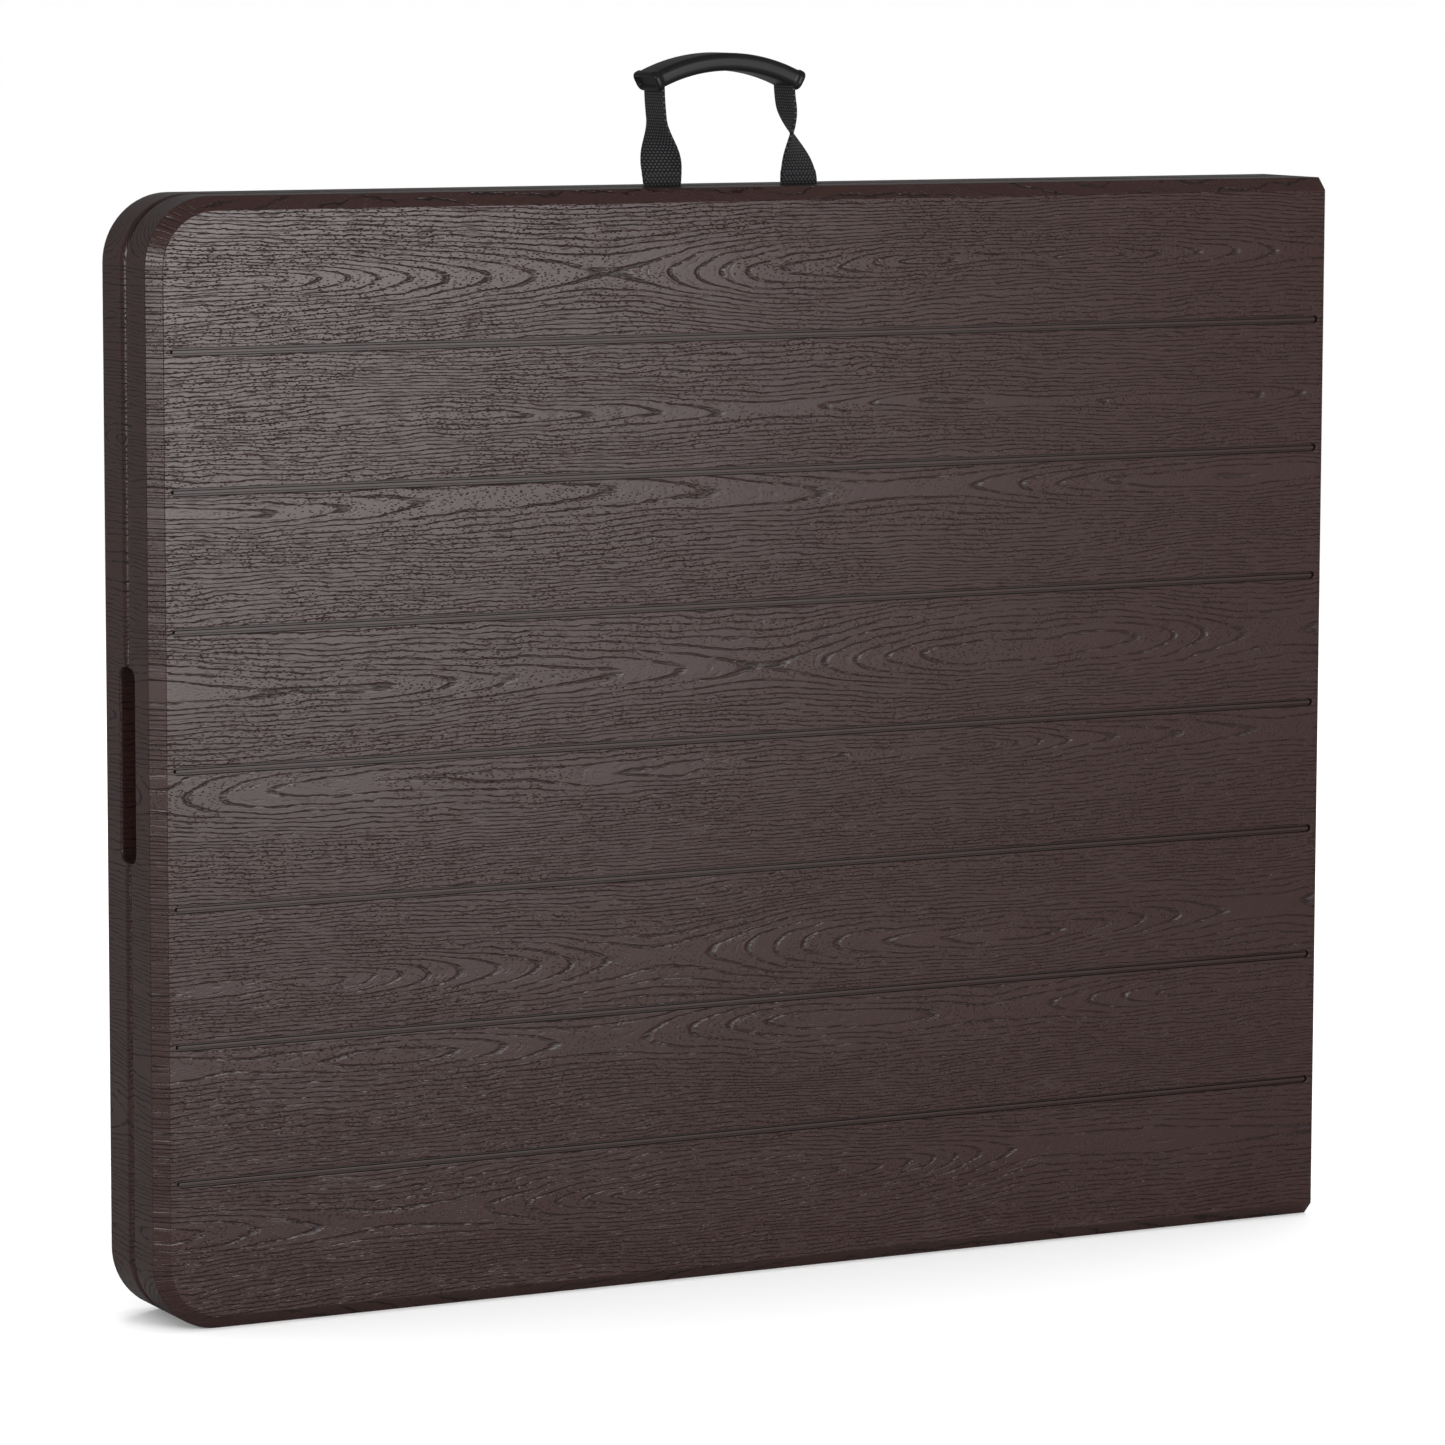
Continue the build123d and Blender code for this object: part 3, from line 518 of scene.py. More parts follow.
def makeHalf(name, node, side, hasHandle, material):  # side is -1 in front, 1 behind
    size = panelSize
    leafHalf = size["leafHeight"] / 2 + size["leafPlay"]
    face, seam = faceDepth * 1000, seamDepth * 1000
    width = tableWidth * 1000
    samples = outlineSamples(hasHandle)
    mid = width / 2

    def slotShare(z):
        inside = size["slotHalfLength"] + size["slotLip"] - abs(z - mid)
        return min(max(inside / 4 + 0.5, 0), 1)

    def base(x, z, part):
        drop = seam
        if part == "side":
            drop += slotDrop(z)
        if part == "top" and hasHandle and any(abs(x - t) < size["strapNotch"] / 2 for t in tabX):
            drop += size["strapNotchDeep"]
        if part == "hinge" and any(abs(z - h) < leafHalf for h in railZ):
            drop += size["leafDeep"]
        return drop

    def filletRadius(z, part):
        if part == "side":
            return size["seamFillet"] + (size["slotLip"] - size["seamFillet"]) * slotShare(z)
        return size["seamFillet"]

    rings = []
    plain = []

    def flat(depth):
        return lambda x, z, part: depth

    def add(ring, plainAndShade=0.0):
        rings.append(ring)
        plain.append(plainAndShade)

    rr, b = size["bevelRound"], size["bevel"]
    reach = rr * math.tan(math.radians(22.5))
    add(shellRing(samples, b + reach, size["endRound"], flat(face)))
    for a in (11.25, 22.5, 33.75, 45):                       # face to bevel
        t = math.radians(a)
        hinge = size["endRound"] * (1 - math.sin(t * 2))
        add(shellRing(samples, b + reach - rr * math.sin(t), hinge,
                      flat(face - rr * (1 - math.cos(t)) - 0.15 * a / 45)))
    for a in (45, 33.75, 22.5, 11.25, 0):                    # bevel to side wall
        t = math.radians(a)
        add(shellRing(samples, rr * (1 - math.cos(t)), 0, flat(face - b - reach + rr * math.sin(t))))
    add(shellRing(samples, 0, 0, flat(face - b - 8)))
    add(shellRing(samples, 0, 0, flat(seam + size["slotDeep"] + 5.5)))

    pocket = size["pocketRadius"]

    def pocketPoint(share):
        def at(z):
            for h in railZ:
                if abs(z - h) < size["leafHeight"] / 2 + 2:
                    low = math.asin((seam + size["leafDeep"]) / pocket)
                    a = math.pi / 2 + (low - math.pi / 2) * share
                    return max(pocket * math.cos(a) - seam, 0), pocket * math.sin(a)
            return None
        return at

    for k in range(size["rollSteps"] + 1):                   # side wall to seam face
        share = k / size["rollSteps"]
        a = share * math.pi / 2

        def depthAt(x, z, part, a=a):
            r = size["hingeRound"] if part == "hinge" else filletRadius(z, part)
            return base(x, z, part) + r * (1 - math.sin(a))

        ring = shellRing(samples, size["seamFillet"] * (1 - math.cos(a)),
                         size["hingeRound"] * (1 - math.cos(a)), depthAt, pocketPoint(share))
        fixed = []
        for x, depth, z in ring:                             # the finger slot has a tighter lip
            if abs(z - mid) < size["slotHalfLength"] + 5 and x < outerX * 1000 + 10:
                x = outerX * 1000 + filletRadius(z, "side") * (1 - math.cos(a))
            fixed.append((x, depth, z))
        add(fixed)

    for early, down in ((1, 0), (0.3, 0.3), (0, 1)):         # seam face to the inside of the rim
        add(shellRing(samples, size["rim"] - early, size["hingeRim"] - early,
                      lambda x, z, part, down=down: base(x, z, part) + down))
    floor = face - size["deck"]
    # the inside of the rim and the floor are plain, with no grain, and darker by painted shade
    add(shellRing(samples, size["rim"] + 0.6, size["hingeRim"] + 0.6, flat(floor - 14)), 0.5)
    fillet = size["floorFillet"]
    for a in (0, 30, 60, 90):
        t = math.radians(a)
        inward = 1 + fillet * (1 - math.cos(t))
        add(shellRing(samples, size["rim"] + inward, size["hingeRim"] + inward,
                      flat(floor - fillet + fillet * math.sin(t))), 1.0)

    bm = bmesh.new()
    plainAndShadeLayer = bm.verts.layers.float.new("plain")

    def addLoop(points, plainAndShade):
        loop = []
        for x, depth, z in points:
            vertex = bm.verts.new((x * mm, side * depth * mm, z * mm))
            vertex[plainAndShadeLayer] = plainAndShade
            loop.append(vertex)
        return loop

    loops = [addLoop(r, p) for r, p in zip(rings, plain)]
    for first, second in zip(loops, loops[1:]):
        bridge(bm, first, second)
    bm.faces.new(loops[-1])

    pitch = (width - 2 * b) / size["planks"]                 # grooves between the planks
    x0 = outerX * 1000 + b + size["grooveMargin"] + size["grooveHalf"]
    x1 = endX * 1000 - size["grooveMargin"] - size["grooveHalf"]
    mouths = []
    for i in range(1, size["planks"]):
        z = b + i * pitch
        inner = []
        for out, deep, plainAndShade in size["groove"]:
            half = size["grooveHalf"] + out
            points = []
            for x, start in ((x0, math.pi / 2), (x1, -math.pi / 2)):
                for k in range(size["grooveArc"] + 1):
                    a = start + math.pi * k / size["grooveArc"]
                    points.append((x + half * math.cos(a), face - deep, z + half * math.sin(a)))
            inner.append(addLoop(points, plainAndShade))
        for first, second in zip(inner, inner[1:]):
            bridge(bm, first, second)
        bm.faces.new(inner[-1])
        mouths.append(inner[0])
    edges = []
    for loop in [loops[0]] + mouths:
        for i, vertex in enumerate(loop):
            edges.append(bm.edges.get((vertex, loop[(i + 1) % len(loop)])))
    bmesh.ops.triangle_fill(bm, use_beauty=True, use_dissolve=False, edges=edges)
    bmesh.ops.remove_doubles(bm, verts=bm.verts, dist=1e-6)
    bmesh.ops.recalc_face_normals(bm, faces=bm.faces)
    piece = fromBmesh(name, bm)
    sharpen(piece.data, 40)
    weighted = piece.modifiers.new("weighted", "WEIGHTED_NORMAL")
    weighted.keep_sharp = True
    finished(piece)
    paint(piece, material)
    handOver(piece, node)


topPlastic = makeTopPlastic()
makeHalf("frontHalf", "front_panel", -1, True, topPlastic)
makeHalf("rearHalf", "rear_panel", 1, False, topPlastic)
print("halves made")


def makePlacingTree():  # one item on every point, turned by the point's own "turn"
    tree = bpy.data.node_groups.new("itemsOnPoints", "GeometryNodeTree")
    face = tree.interface
    for label, kind in (("Places", "Geometry"), ("Item", "Object"), ("Item Size", "Float"),
                        ("Spin", "Float"), ("Seed", "Int"), ("Material", "Material")):
        face.new_socket(label, in_out="INPUT", socket_type="NodeSocket" + kind)
    face.new_socket("Result", in_out="OUTPUT", socket_type="NodeSocketGeometry")
    given = tree.nodes.new("NodeGroupInput").outputs
    item = addNode(tree, "GeometryNodeObjectInfo", {}, {"Object": given["Item"]})
    turn = addNode(tree, "GeometryNodeInputNamedAttribute", {"data_type": "FLOAT_VECTOR"}, {"Name": "turn"})
    facing = addNode(tree, "FunctionNodeEulerToRotation", {}, {0: turn.outputs[0]})
    placed = addNode(tree, "GeometryNodeInstanceOnPoints", {}, {
        "Points": given["Places"], "Instance": item.outputs["Geometry"],
        "Rotation": facing.outputs[0], "Scale": given["Item Size"]})
    chance = addNode(tree, "FunctionNodeRandomValue", {"data_type": "FLOAT"}, {
        2: 0.0, 3: given["Spin"], "Seed": given["Seed"]})
    spin = addNode(tree, "ShaderNodeCombineXYZ", {}, {"Z": chance.outputs[1]})
    turned = addNode(tree, "GeometryNodeRotateInstances", {}, {
        "Instances": placed.outputs[0], "Rotation": spin.outputs[0], "Local Space": True})
    real = addNode(tree, "GeometryNodeRealizeInstances", {}, {"Geometry": turned.outputs[0]})
    coated = addNode(tree, "GeometryNodeSetMaterial", {}, {
        "Geometry": real.outputs[0], "Material": given["Material"]})
    ends = tree.nodes.new("NodeGroupOutput")
    tree.links.new(coated.outputs[0], ends.inputs[0])
    return tree


placingTree = makePlacingTree()


def placeItems(name, item, places, material, size=1.0, spin=0.0, seed=1):  # places: (point, direction)
    mesh = bpy.data.meshes.new(name)
    mesh.from_pydata([tuple(point) for point, facing in places], [], [])
    turns = []
    for point, facing in places:
        turns += list(Vector(facing).to_track_quat("Z", "Y").to_euler())
    mesh.attributes.new("turn", "FLOAT_VECTOR", "POINT").data.foreach_set("vector", turns)
    holder = addObject(name, mesh)
    nodes = holder.modifiers.new("placing", "NODES")
    nodes.node_group = placingTree
    given = {"Item": item, "Item Size": size, "Spin": spin, "Seed": seed, "Material": material}
    for socket in placingTree.interface.items_tree:
        if socket.name in given:
            nodes[socket.identifier] = given[socket.name]
    finished(holder)
    return holder


def lathe(bm, profile, segments, turn, shape=None):  # closed round piece from (radius, height) pairs
    loops = []
    for r, h in profile:
        if r == 0:
            loops.append([bm.verts.new(turn @ Vector((0, 0, h)))])
            continue
        loop = []
        for k in range(segments):
            a = 2 * math.pi * k / segments
            rr = shape(a, r, h) if shape else r
            loop.append(bm.verts.new(turn @ Vector((rr * math.cos(a), rr * math.sin(a), h))))
        loops.append(loop)
    for first, second in zip(loops, loops[1:]):
        if len(first) == len(second):
            bridge(bm, first, second)
            continue
        for k in range(segments):
            n = (k + 1) % segments
            if len(first) == 1:
                bm.faces.new((first[0], second[n], second[k]))
            else:
                bm.faces.new((first[k], first[n], second[0]))
    return loops


def settle(name, bm, material, sharpAt=35):  # outward faces, smooth with crisp corners, painted
    bmesh.ops.recalc_face_normals(bm, faces=bm.faces)
    piece = fromBmesh(name, bm)
    sharpen(piece.data, sharpAt)
    if material:
        paint(piece, material)
    return piece


screwSize = {"headRadius": 4.0, "headHeight": 2.0, "rim": 0.55, "crossLong": 2.1, "crossWide": 0.42,
             "crossDeep": 1.1, "crossTaper": 0.7, "flatRadius": 2.6, "sides": 24}
screwGroups = {"rail_screws": {"scale": 1.0, "under": 2.0}, "bracket_screws": {"scale": 1.0, "under": 2.0},
               "hinge_screws": {"scale": 0.97, "under": 1.35}}


def makeScrewHead():  # a pan head with a cross recess, pointing up, its seat at zero
    size = screwSize
    bm = bmesh.new()
    top = size["headHeight"]
    wide = size["headRadius"]
    profile = [(wide * 0.6, -0.6), (wide * 0.98, -0.02), (wide, 0.15), (wide, size["rim"]),
               (wide * 0.95, top * 0.62), (wide * 0.84, top * 0.85), (size["flatRadius"], top)]
    loops = lathe(bm, profile, size["sides"], Matrix.Scale(mm, 4))
    bm.faces.new(loops[0])
    w, arm = size["crossWide"], size["crossLong"]
    corners = [(w, arm), (-w, arm), (-w, w), (-arm, w), (-arm, -w), (-w, -w), (-w, -arm), (w, -arm),
               (w, -w), (arm, -w), (arm, w), (w, w)]
    taper, low = size["crossTaper"], top - size["crossDeep"]
    mouth = [bm.verts.new((x * mm, y * mm, top * mm)) for x, y in corners]
    floor = [bm.verts.new((x * taper * mm, y * taper * mm, low * mm)) for x, y in corners]
    bridge(bm, mouth, floor)
    bm.faces.new(floor)
    edges = []
    for loop in (mouth, loops[-1]):
        edges += [bm.edges.get((loop[k], loop[(k + 1) % len(loop)])) for k in range(len(loop))]
    bmesh.ops.triangle_fill(bm, use_beauty=True, use_dissolve=False, edges=edges)
    return settle("screwHead", bm, finishes["plated_steel"])


def headPlaces(node, sideFace):  # centre of every head in a CAD screw group, by its outline
    bm = bmesh.new()
    bm.from_mesh(frame["nodes"][node].data)
    bmesh.ops.remove_doubles(bm, verts=bm.verts, dist=1e-6)
    seen = set()
    places = []
    for start in bm.verts:
        if start in seen:
            continue
        island = []
        queue = [start]
        seen.add(start)
        while queue:
            vertex = queue.pop()
            island.append(vertex.co.copy())
            for edge in vertex.link_edges:
                other = edge.other_vert(vertex)
                if other not in seen:
                    seen.add(other)
                    queue.append(other)
        low = Vector([min(c[i] for c in island) for i in range(3)])
        high = Vector([max(c[i] for c in island) for i in range(3)])
        middle = (low + high) / 2
        middle.y = high.y if sideFace < 0 else low.y
        places.append(middle)
    bm.free()
    return places


def makeScrews():
    head = makeScrewHead()
    for side, sign in halfSides:
        for group, fit in screwGroups.items():
            node = side + "_" + group
            sunk = Vector((0, sign * fit["under"] * mm, 0))
            places = [(place + sunk, (0, -sign, 0)) for place in headPlaces(node, sign)]
            heads = placeItems(side + group.title().replace("_", ""), head, places,
                               finishes["plated_steel"], fit["scale"], math.tau, len(places))
            handOver(heads, node)
    bpy.data.objects.remove(head)


makeScrews()
print("screws made")

dimpleSize = {"radius": 13.0, "high": 2.6, "pitchX": 41.0, "pitchZ": 38.0, "sides": 12, "margin": 24.0,
              "railGap": 27.0}


def makeUnderside():  # shallow bosses over the floor of each half, clear of the rails
    size = dimpleSize
    bm = bmesh.new()
    r, h = size["radius"], size["high"]
    profile = [(r, -0.6), (r, 0), (r * 0.9, h * 0.35), (r * 0.78, h * 0.8), (r * 0.62, h),
               (r * 0.48, h * 0.8), (r * 0.34, h * 0.3), (0, h * 0.12)]
    lathe(bm, profile, size["sides"], Matrix.Scale(mm, 4))
    boss = settle("boss", bm, topPlastic, 60)
    floor = faceDepth - panelSize["deck"] * mm
    for side, sign in halfSides:
        places = []
        x = outerX * 1000 + panelSize["rim"] + size["margin"]
        column = 0
        while x < endX * 1000 - panelSize["hingeRim"] - size["margin"]:
            z = panelSize["rim"] + size["margin"] + (size["pitchZ"] / 2 if column % 2 else 0)
            while z < tableWidth * 1000 - panelSize["rim"] - size["margin"] + 1:
                if all(abs(z - rail) > size["railGap"] for rail in railZ):
                    places.append((Vector((x * mm, sign * floor, z * mm)), (0, -sign, 0)))
                z += size["pitchZ"]
            x += size["pitchX"]
            column += 1
        ribs = placeItems(side + "UndersideBosses", boss, places, topPlastic)
        # the bosses are plain, with no grain, and darker by the painted shade of the hollow
        plain = ribs.data.attributes.new("plain", "FLOAT", "POINT")
        plain.data.foreach_set("value", [1.0] * len(ribs.data.vertices))
        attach(ribs, side + "_half")
    bpy.data.objects.remove(boss)


makeUnderside()
print("underside made")

knobSize = {
    "lobes": 6, "lobeDepth": 0.13, "sides": 72, "radius": 10.9, "tall": 13.0, "hub": 5.0, "lobeRise": 3.0,
    "outline": ((0, 0), (5.2, 0), (5.4, 0.3), (5.4, 1.4), (6.4, 1.9), (9.6, 2.2), (10.6, 2.8),
                (10.9, 3.9), (10.9, 9.4), (10.6, 10.9), (9.8, 12.1), (8.6, 12.8), (7.2, 13.0),
                (6.6, 12.8), (6.2, 12.0), (4.4, 11.7), (4.1, 12.1), (3.6, 12.4), (0, 12.7)),
}


def makeKnobs():
    size = knobSize

    def lobed(a, r, h):
        share = min(max((r - size["hub"] * mm) / (size["lobeRise"] * mm), 0), 1)
        return r * (1 - size["lobeDepth"] * share * (0.5 - 0.5 * math.cos(size["lobes"] * a)) ** 1.6)

    for side in ("front", "rear"):
        for height, up in (("low", 1), ("high", -1)):
            node = side + "_knob_" + height
            low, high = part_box(node)
            radius = (high.x - low.x) / 2
            tall = high.z - low.z
            foot = Vector(((low.x + high.x) / 2, (low.y + high.y) / 2, low.z if up > 0 else high.z))
            turn = Matrix.Translation(foot) @ Matrix.Diagonal((1, 1, up, 1))
            scaled = [(r / size["radius"] * radius, h / size["tall"] * tall) for r, h in size["outline"]]
            bm = bmesh.new()
            lathe(bm, scaled, size["sides"], turn, lobed)
            knob = settle(side + "Knob" + height.title(), bm, finishes["black_plastic"], 50)
            handOver(knob, node)


makeKnobs()

footSize = {"sides": 48, "wall": 2.85, "bore": 6.0, "sleeve": 0.9, "ribDeep": 0.7, "ribs": 4, "ribPitch": 3.6,
            "ribsFrom": 2.2, "tread": 3, "treadInset": 3.4, "treadPitch": 3.2, "treadDeep": 0.9}


def makeFeet():
    size = footSize
    for side in ("front", "rear"):
        node = side + "_foot_caps"
        low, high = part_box(node)
        radius = (high.y - low.y) / 2 * 1000
        length = (high.x - low.x) * 1000
        bore, sleeve = radius - size["wall"], radius - size["sleeve"]
        groove = sleeve - size["ribDeep"]
        profile = [(0, size["bore"]), (bore, size["bore"]), (bore, 0.4), (radius - 2.5, 0),
                   (radius - 1.5, 0), (sleeve, 0.6)]
        h = size["ribsFrom"]
        for k in range(size["ribs"]):
            profile += [(sleeve, h), (groove, h + 0.4), (groove, h + 1.3), (sleeve, h + 1.7)]
            h += size["ribPitch"]
        profile += [(radius - 0.7, h), (radius, h + 1.2), (radius, length - 2.4),
                    (radius - 0.8, length - 0.8), (radius - 2.4, length)]
        sunk = length - size["treadDeep"]
        for k in range(size["tread"]):
            r = radius - size["treadInset"] - k * size["treadPitch"]
            profile += [(r, length), (r - 0.4, sunk), (r - 1.2, sunk), (r - 1.6, length)]
        profile.append((0, length))
        bm = bmesh.new()
        for z in postZ:
            place = Vector((low.x, (low.y + high.y) / 2, z))
            turn = Matrix.Translation(place) @ Matrix.Rotation(math.pi / 2, 4, "Y") @ Matrix.Scale(mm, 4)
            lathe(bm, profile, size["sides"], turn)
        caps = settle(side + "FootCaps", bm, finishes["foot_rubber"])
        handOver(caps, node)


makeFeet()
print("knobs and feet made")

weldSize = {"bead": 1.5, "flat": 0.55, "count": 26, "pivotCount": 34, "spin": 0.6, "seed": 5,
            "post": 12.5, "pivot": 13.0, "crossbar": 8.0, "lowerTube": 10.6, "footBar": 7.0}


def makeWelds():  # overlapping beads of weld round every tube joint
    size = weldSize
    bm = bmesh.new()
    bmesh.ops.create_icosphere(bm, subdivisions=1, radius=size["bead"] * mm)
    bmesh.ops.scale(bm, verts=bm.verts, vec=(1, 1, size["flat"]))
    bead = settle("bead", bm, finishes["frame_steel"], 80)
    post = size["post"] * mm
    for side, y in (("front", pivotY), ("rear", -pivotY)):
        frameWelds = []
        footWelds = []
        barLow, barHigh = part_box(side + "_foot_bar")
        for z, inward in zip(postZ, (1, -1)):
            for x, barRadius, tubeRadius, welds in (
                    (crossX, size["crossbar"] * mm, post, frameWelds),
                    ((barLow.x + barHigh.x) / 2, size["footBar"] * mm, size["lowerTube"] * mm, footWelds)):
                for k in range(size["count"]):
                    a = math.tau * k / size["count"]
                    sideways = barRadius * math.sin(a)
                    rise = math.sqrt(tubeRadius ** 2 - sideways ** 2)
                    place = Vector((x + barRadius * math.cos(a), y + sideways, z + inward * rise))
                    welds.append((place, (math.cos(a), math.sin(a), inward)))
            for k in range(size["pivotCount"]):
                a = math.tau * k / size["pivotCount"]
                sideways = post * math.sin(a)
                out = math.sqrt((size["pivot"] * mm) ** 2 - sideways ** 2)
                place = Vector((pivotX + out, y + sideways, z + post * math.cos(a)))
                frameWelds.append((place, (1, math.sin(a), math.cos(a))))
        for name, places, body in ((side + "FrameWelds", frameWelds, side + "_leg"),
                                   (side + "FootBarWelds", footWelds, side + "_lower_leg")):
            welds = placeItems(name, bead, places, finishes["frame_steel"], 1.0, size["spin"], size["seed"])
            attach(welds, body)
    bpy.data.objects.remove(bead)


makeWelds()

softEdges = {"frame_steel": 0.5, "plated_steel": 0.3, "black_plastic": 0.6}
edgeAngles = {"flat": 0.6, "rounded": 35, "sharp": 44}


def makeFittings():  # every other fitting: the same shape with its corners rounded
    done = set()
    for piece in bpy.data.objects:
        done.update(piece.get("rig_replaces", []))
    for node in bodyOf:
        look = slotOf[node]
        if node in done or look not in softEdges:
            continue
        bm = bmesh.new()
        bm.from_mesh(frame["nodes"][node].data)
        bmesh.ops.remove_doubles(bm, verts=bm.verts, dist=2e-6)
        bmesh.ops.dissolve_limit(bm, angle_limit=math.radians(edgeAngles["flat"]), verts=bm.verts,
                                 edges=bm.edges)
        words = node.split("_")
        name = words[0] + "".join(w.title() for w in words[1:])
        piece = fromBmesh(name, bm)
        bevel = piece.modifiers.new("rounding", "BEVEL")
        bevel.width = softEdges[look] * mm
        bevel.segments = 2
        bevel.limit_method = "ANGLE"
        bevel.angle_limit = math.radians(edgeAngles["rounded"])
        bevel.use_clamp_overlap = True
        bevel.harden_normals = False
        weighted = piece.modifiers.new("weighted", "WEIGHTED_NORMAL")
        weighted.keep_sharp = True
        finished(piece)
        sharpen(piece.data, edgeAngles["sharp"])
        paint(piece, finishes[look])
        handOver(piece, node)


makeFittings()
print("fittings made")

strapSize = {
    "wide": 28.0, "thick": 2.6, "edge": 1.1, "baseX": (-59.4, 45.8), "topX": (-65.4, 34.4),
    "low": 718.0, "turnFrom": (748.0, 750.0), "turnTo": (796.0, 805.0), "top": 820.0, "steps": 60,
    "turn": (1.0, -1.0), "depth": 1.7, "blendX": -7.0, "blendFrom": 749.0, "blendTo": 765.0,
    "doubledFrom": 751.0, "doubledTo": 760.0, "doubled": 0.75, "faceSteps": 14, "edgeSteps": 6,
}


def smooth(t):
    t = min(max(t, 0), 1)
    return t * t * (3 - 2 * t)


def strapSpot(leg, z):  # middle of the strap and its twist at this height
    size = strapSize
    start = size["turnFrom"][leg]
    share = smooth((z - start) / (size["top"] - start))
    x = size["baseX"][leg] + (size["topX"][leg] - size["baseX"][leg]) * share
    twist = math.pi / 2 * smooth((z - start) / (size["turnTo"][leg] - start))
    return x, twist * size["turn"][leg]


def strapPoint(leg, z, across, out):  # across runs over the width, out stands off the face
    x, twist = strapSpot(leg, z)
    px = x + across * math.cos(twist) - out * math.sin(twist)
    py = -strapSize["depth"] - across * math.sin(twist) - out * math.cos(twist)
    return Vector((px * mm, py * mm, z * mm))


def doubling(z):  # the end is folded back on itself just above the rim
    return strapSize["doubled"] * smooth(z - strapSize["doubledFrom"]) * smooth(strapSize["doubledTo"] - z)


def bendAtRim(piece):  # bakes the piece's placing into its mesh
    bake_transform(piece)


def makeStrap():
    size = strapSize
    half, flat, edge = size["wide"] / 2, size["thick"] / 2, size["edge"]
    section = []
    wide = half - edge
    for way in (1, -1):                                      # lower face and its edge, then the upper
        for k in range(size["faceSteps"] + 1):
            section.append((way * (-wide + 2 * wide * k / size["faceSteps"]), -way * flat))
        for k in range(1, size["edgeSteps"]):
            a = math.pi * k / size["edgeSteps"] - way * math.pi / 2
            section.append((way * wide + edge * math.cos(a), flat * math.sin(a)))
    bm = bmesh.new()
    uv = bm.loops.layers.uv.new("UVMap")
    for leg in (0, 1):
        loops = []
        rise = (size["top"] - size["low"]) / size["steps"]
        heights = [size["low"] + rise * k for k in range(size["steps"] + 1)]
        fold, foot = size["doubledTo"], size["doubledFrom"]
        heights = sorted(heights + [fold - 1.2, fold - 0.5, fold, fold + 0.2, foot + 0.2, foot + 1.0])
        for z in heights:
            thicker = 1 + doubling(z) / flat
            loops.append([bm.verts.new(strapPoint(leg, z, s, o * thicker)) for s, o in section])
        for i in range(len(loops) - 1):
            for k in range(len(section)):
                n = (k + 1) % len(section)
                made = bm.faces.new((loops[i][k], loops[i][n], loops[i + 1][n], loops[i + 1][k]))
                places = ((k, i), (n, i), (n, i + 1), (k, i + 1))
                for corner, (a, b) in zip(made.loops, places):
                    corner[uv].uv = ((section[a][0] + half) / strapMap, heights[b] / strapMap)
        bm.faces.new(loops[0])
        bm.faces.new(loops[-1])
    strap = settle("handleStrap", bm, finishes["webbing"], 80)
    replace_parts(strap, "handle_tabs", "handle_webbing")
    bendAtRim(strap)


stitchSize = {"long": 2.5, "thick": 0.36, "pitch": 3.3, "low": 754.0, "tall": 4.2, "inset": 1.6,
              "rise": 0.05}


def makeStitches():  # a flat box of thread across the doubled end, on both faces of each leg
    size = stitchSize
    bm = bmesh.new()
    half, r = size["long"] / 2, size["thick"]
    profile = [(0, -half), (r * 0.7, -half * 0.9), (r, -half * 0.5), (r, half * 0.5),
               (r * 0.7, half * 0.9), (0, half)]
    lathe(bm, profile, 6, Matrix.Scale(mm, 4))
    thread = settle("thread", bm, stitchThread, 80)
    places = []
    wide = strapSize["wide"] / 2 - size["inset"]
    tall = size["tall"]
    runs = [((-wide, 0), (wide, 0)), ((wide, 0), (wide, tall)), ((wide, tall), (-wide, tall)),
            ((-wide, tall), (-wide, 0))]
    for leg in (0, 1):
        for face in (-1, 1):
            for (s0, h0), (s1, h1) in runs:
                count = max(round(math.hypot(s1 - s0, h1 - h0) / size["pitch"]), 1)
                for k in range(count):
                    spots = []
                    for t in ((k + 0.4) / count, (k + 0.6) / count):
                        z = size["low"] + h0 + (h1 - h0) * t
                        off = face * (strapSize["thick"] / 2 + doubling(z) + size["rise"])
                        spots.append(strapPoint(leg, z, s0 + (s1 - s0) * t, off))
                    places.append(((spots[0] + spots[1]) / 2, spots[1] - spots[0]))
    stitches = placeItems("handleStitches", thread, places, stitchThread)
    bendAtRim(stitches)
    bpy.data.objects.remove(thread)


sleeveSize = {
    "radius": 121.0, "reach": 56.0, "below": 6.0, "above": 8.0, "wide": 34.0, "corner": 5.4,
    "cornerSteps": 8, "steps": 56, "lip": 0.9, "lipLong": 4.0, "middleX": -15.5, "middleZ": 712.0,
    # each end from its hollow mouth outwards: how much smaller, and how far along
    "ends": ((5.2, 2.2), (4.6, 2.2), (4.0, 1.9), (3.6, 0.8), (2.9, 0.15), (1.8, 0.0), (0.9, 0.25),
             (0.3, 0.8), (0.0, 1.6)),
}


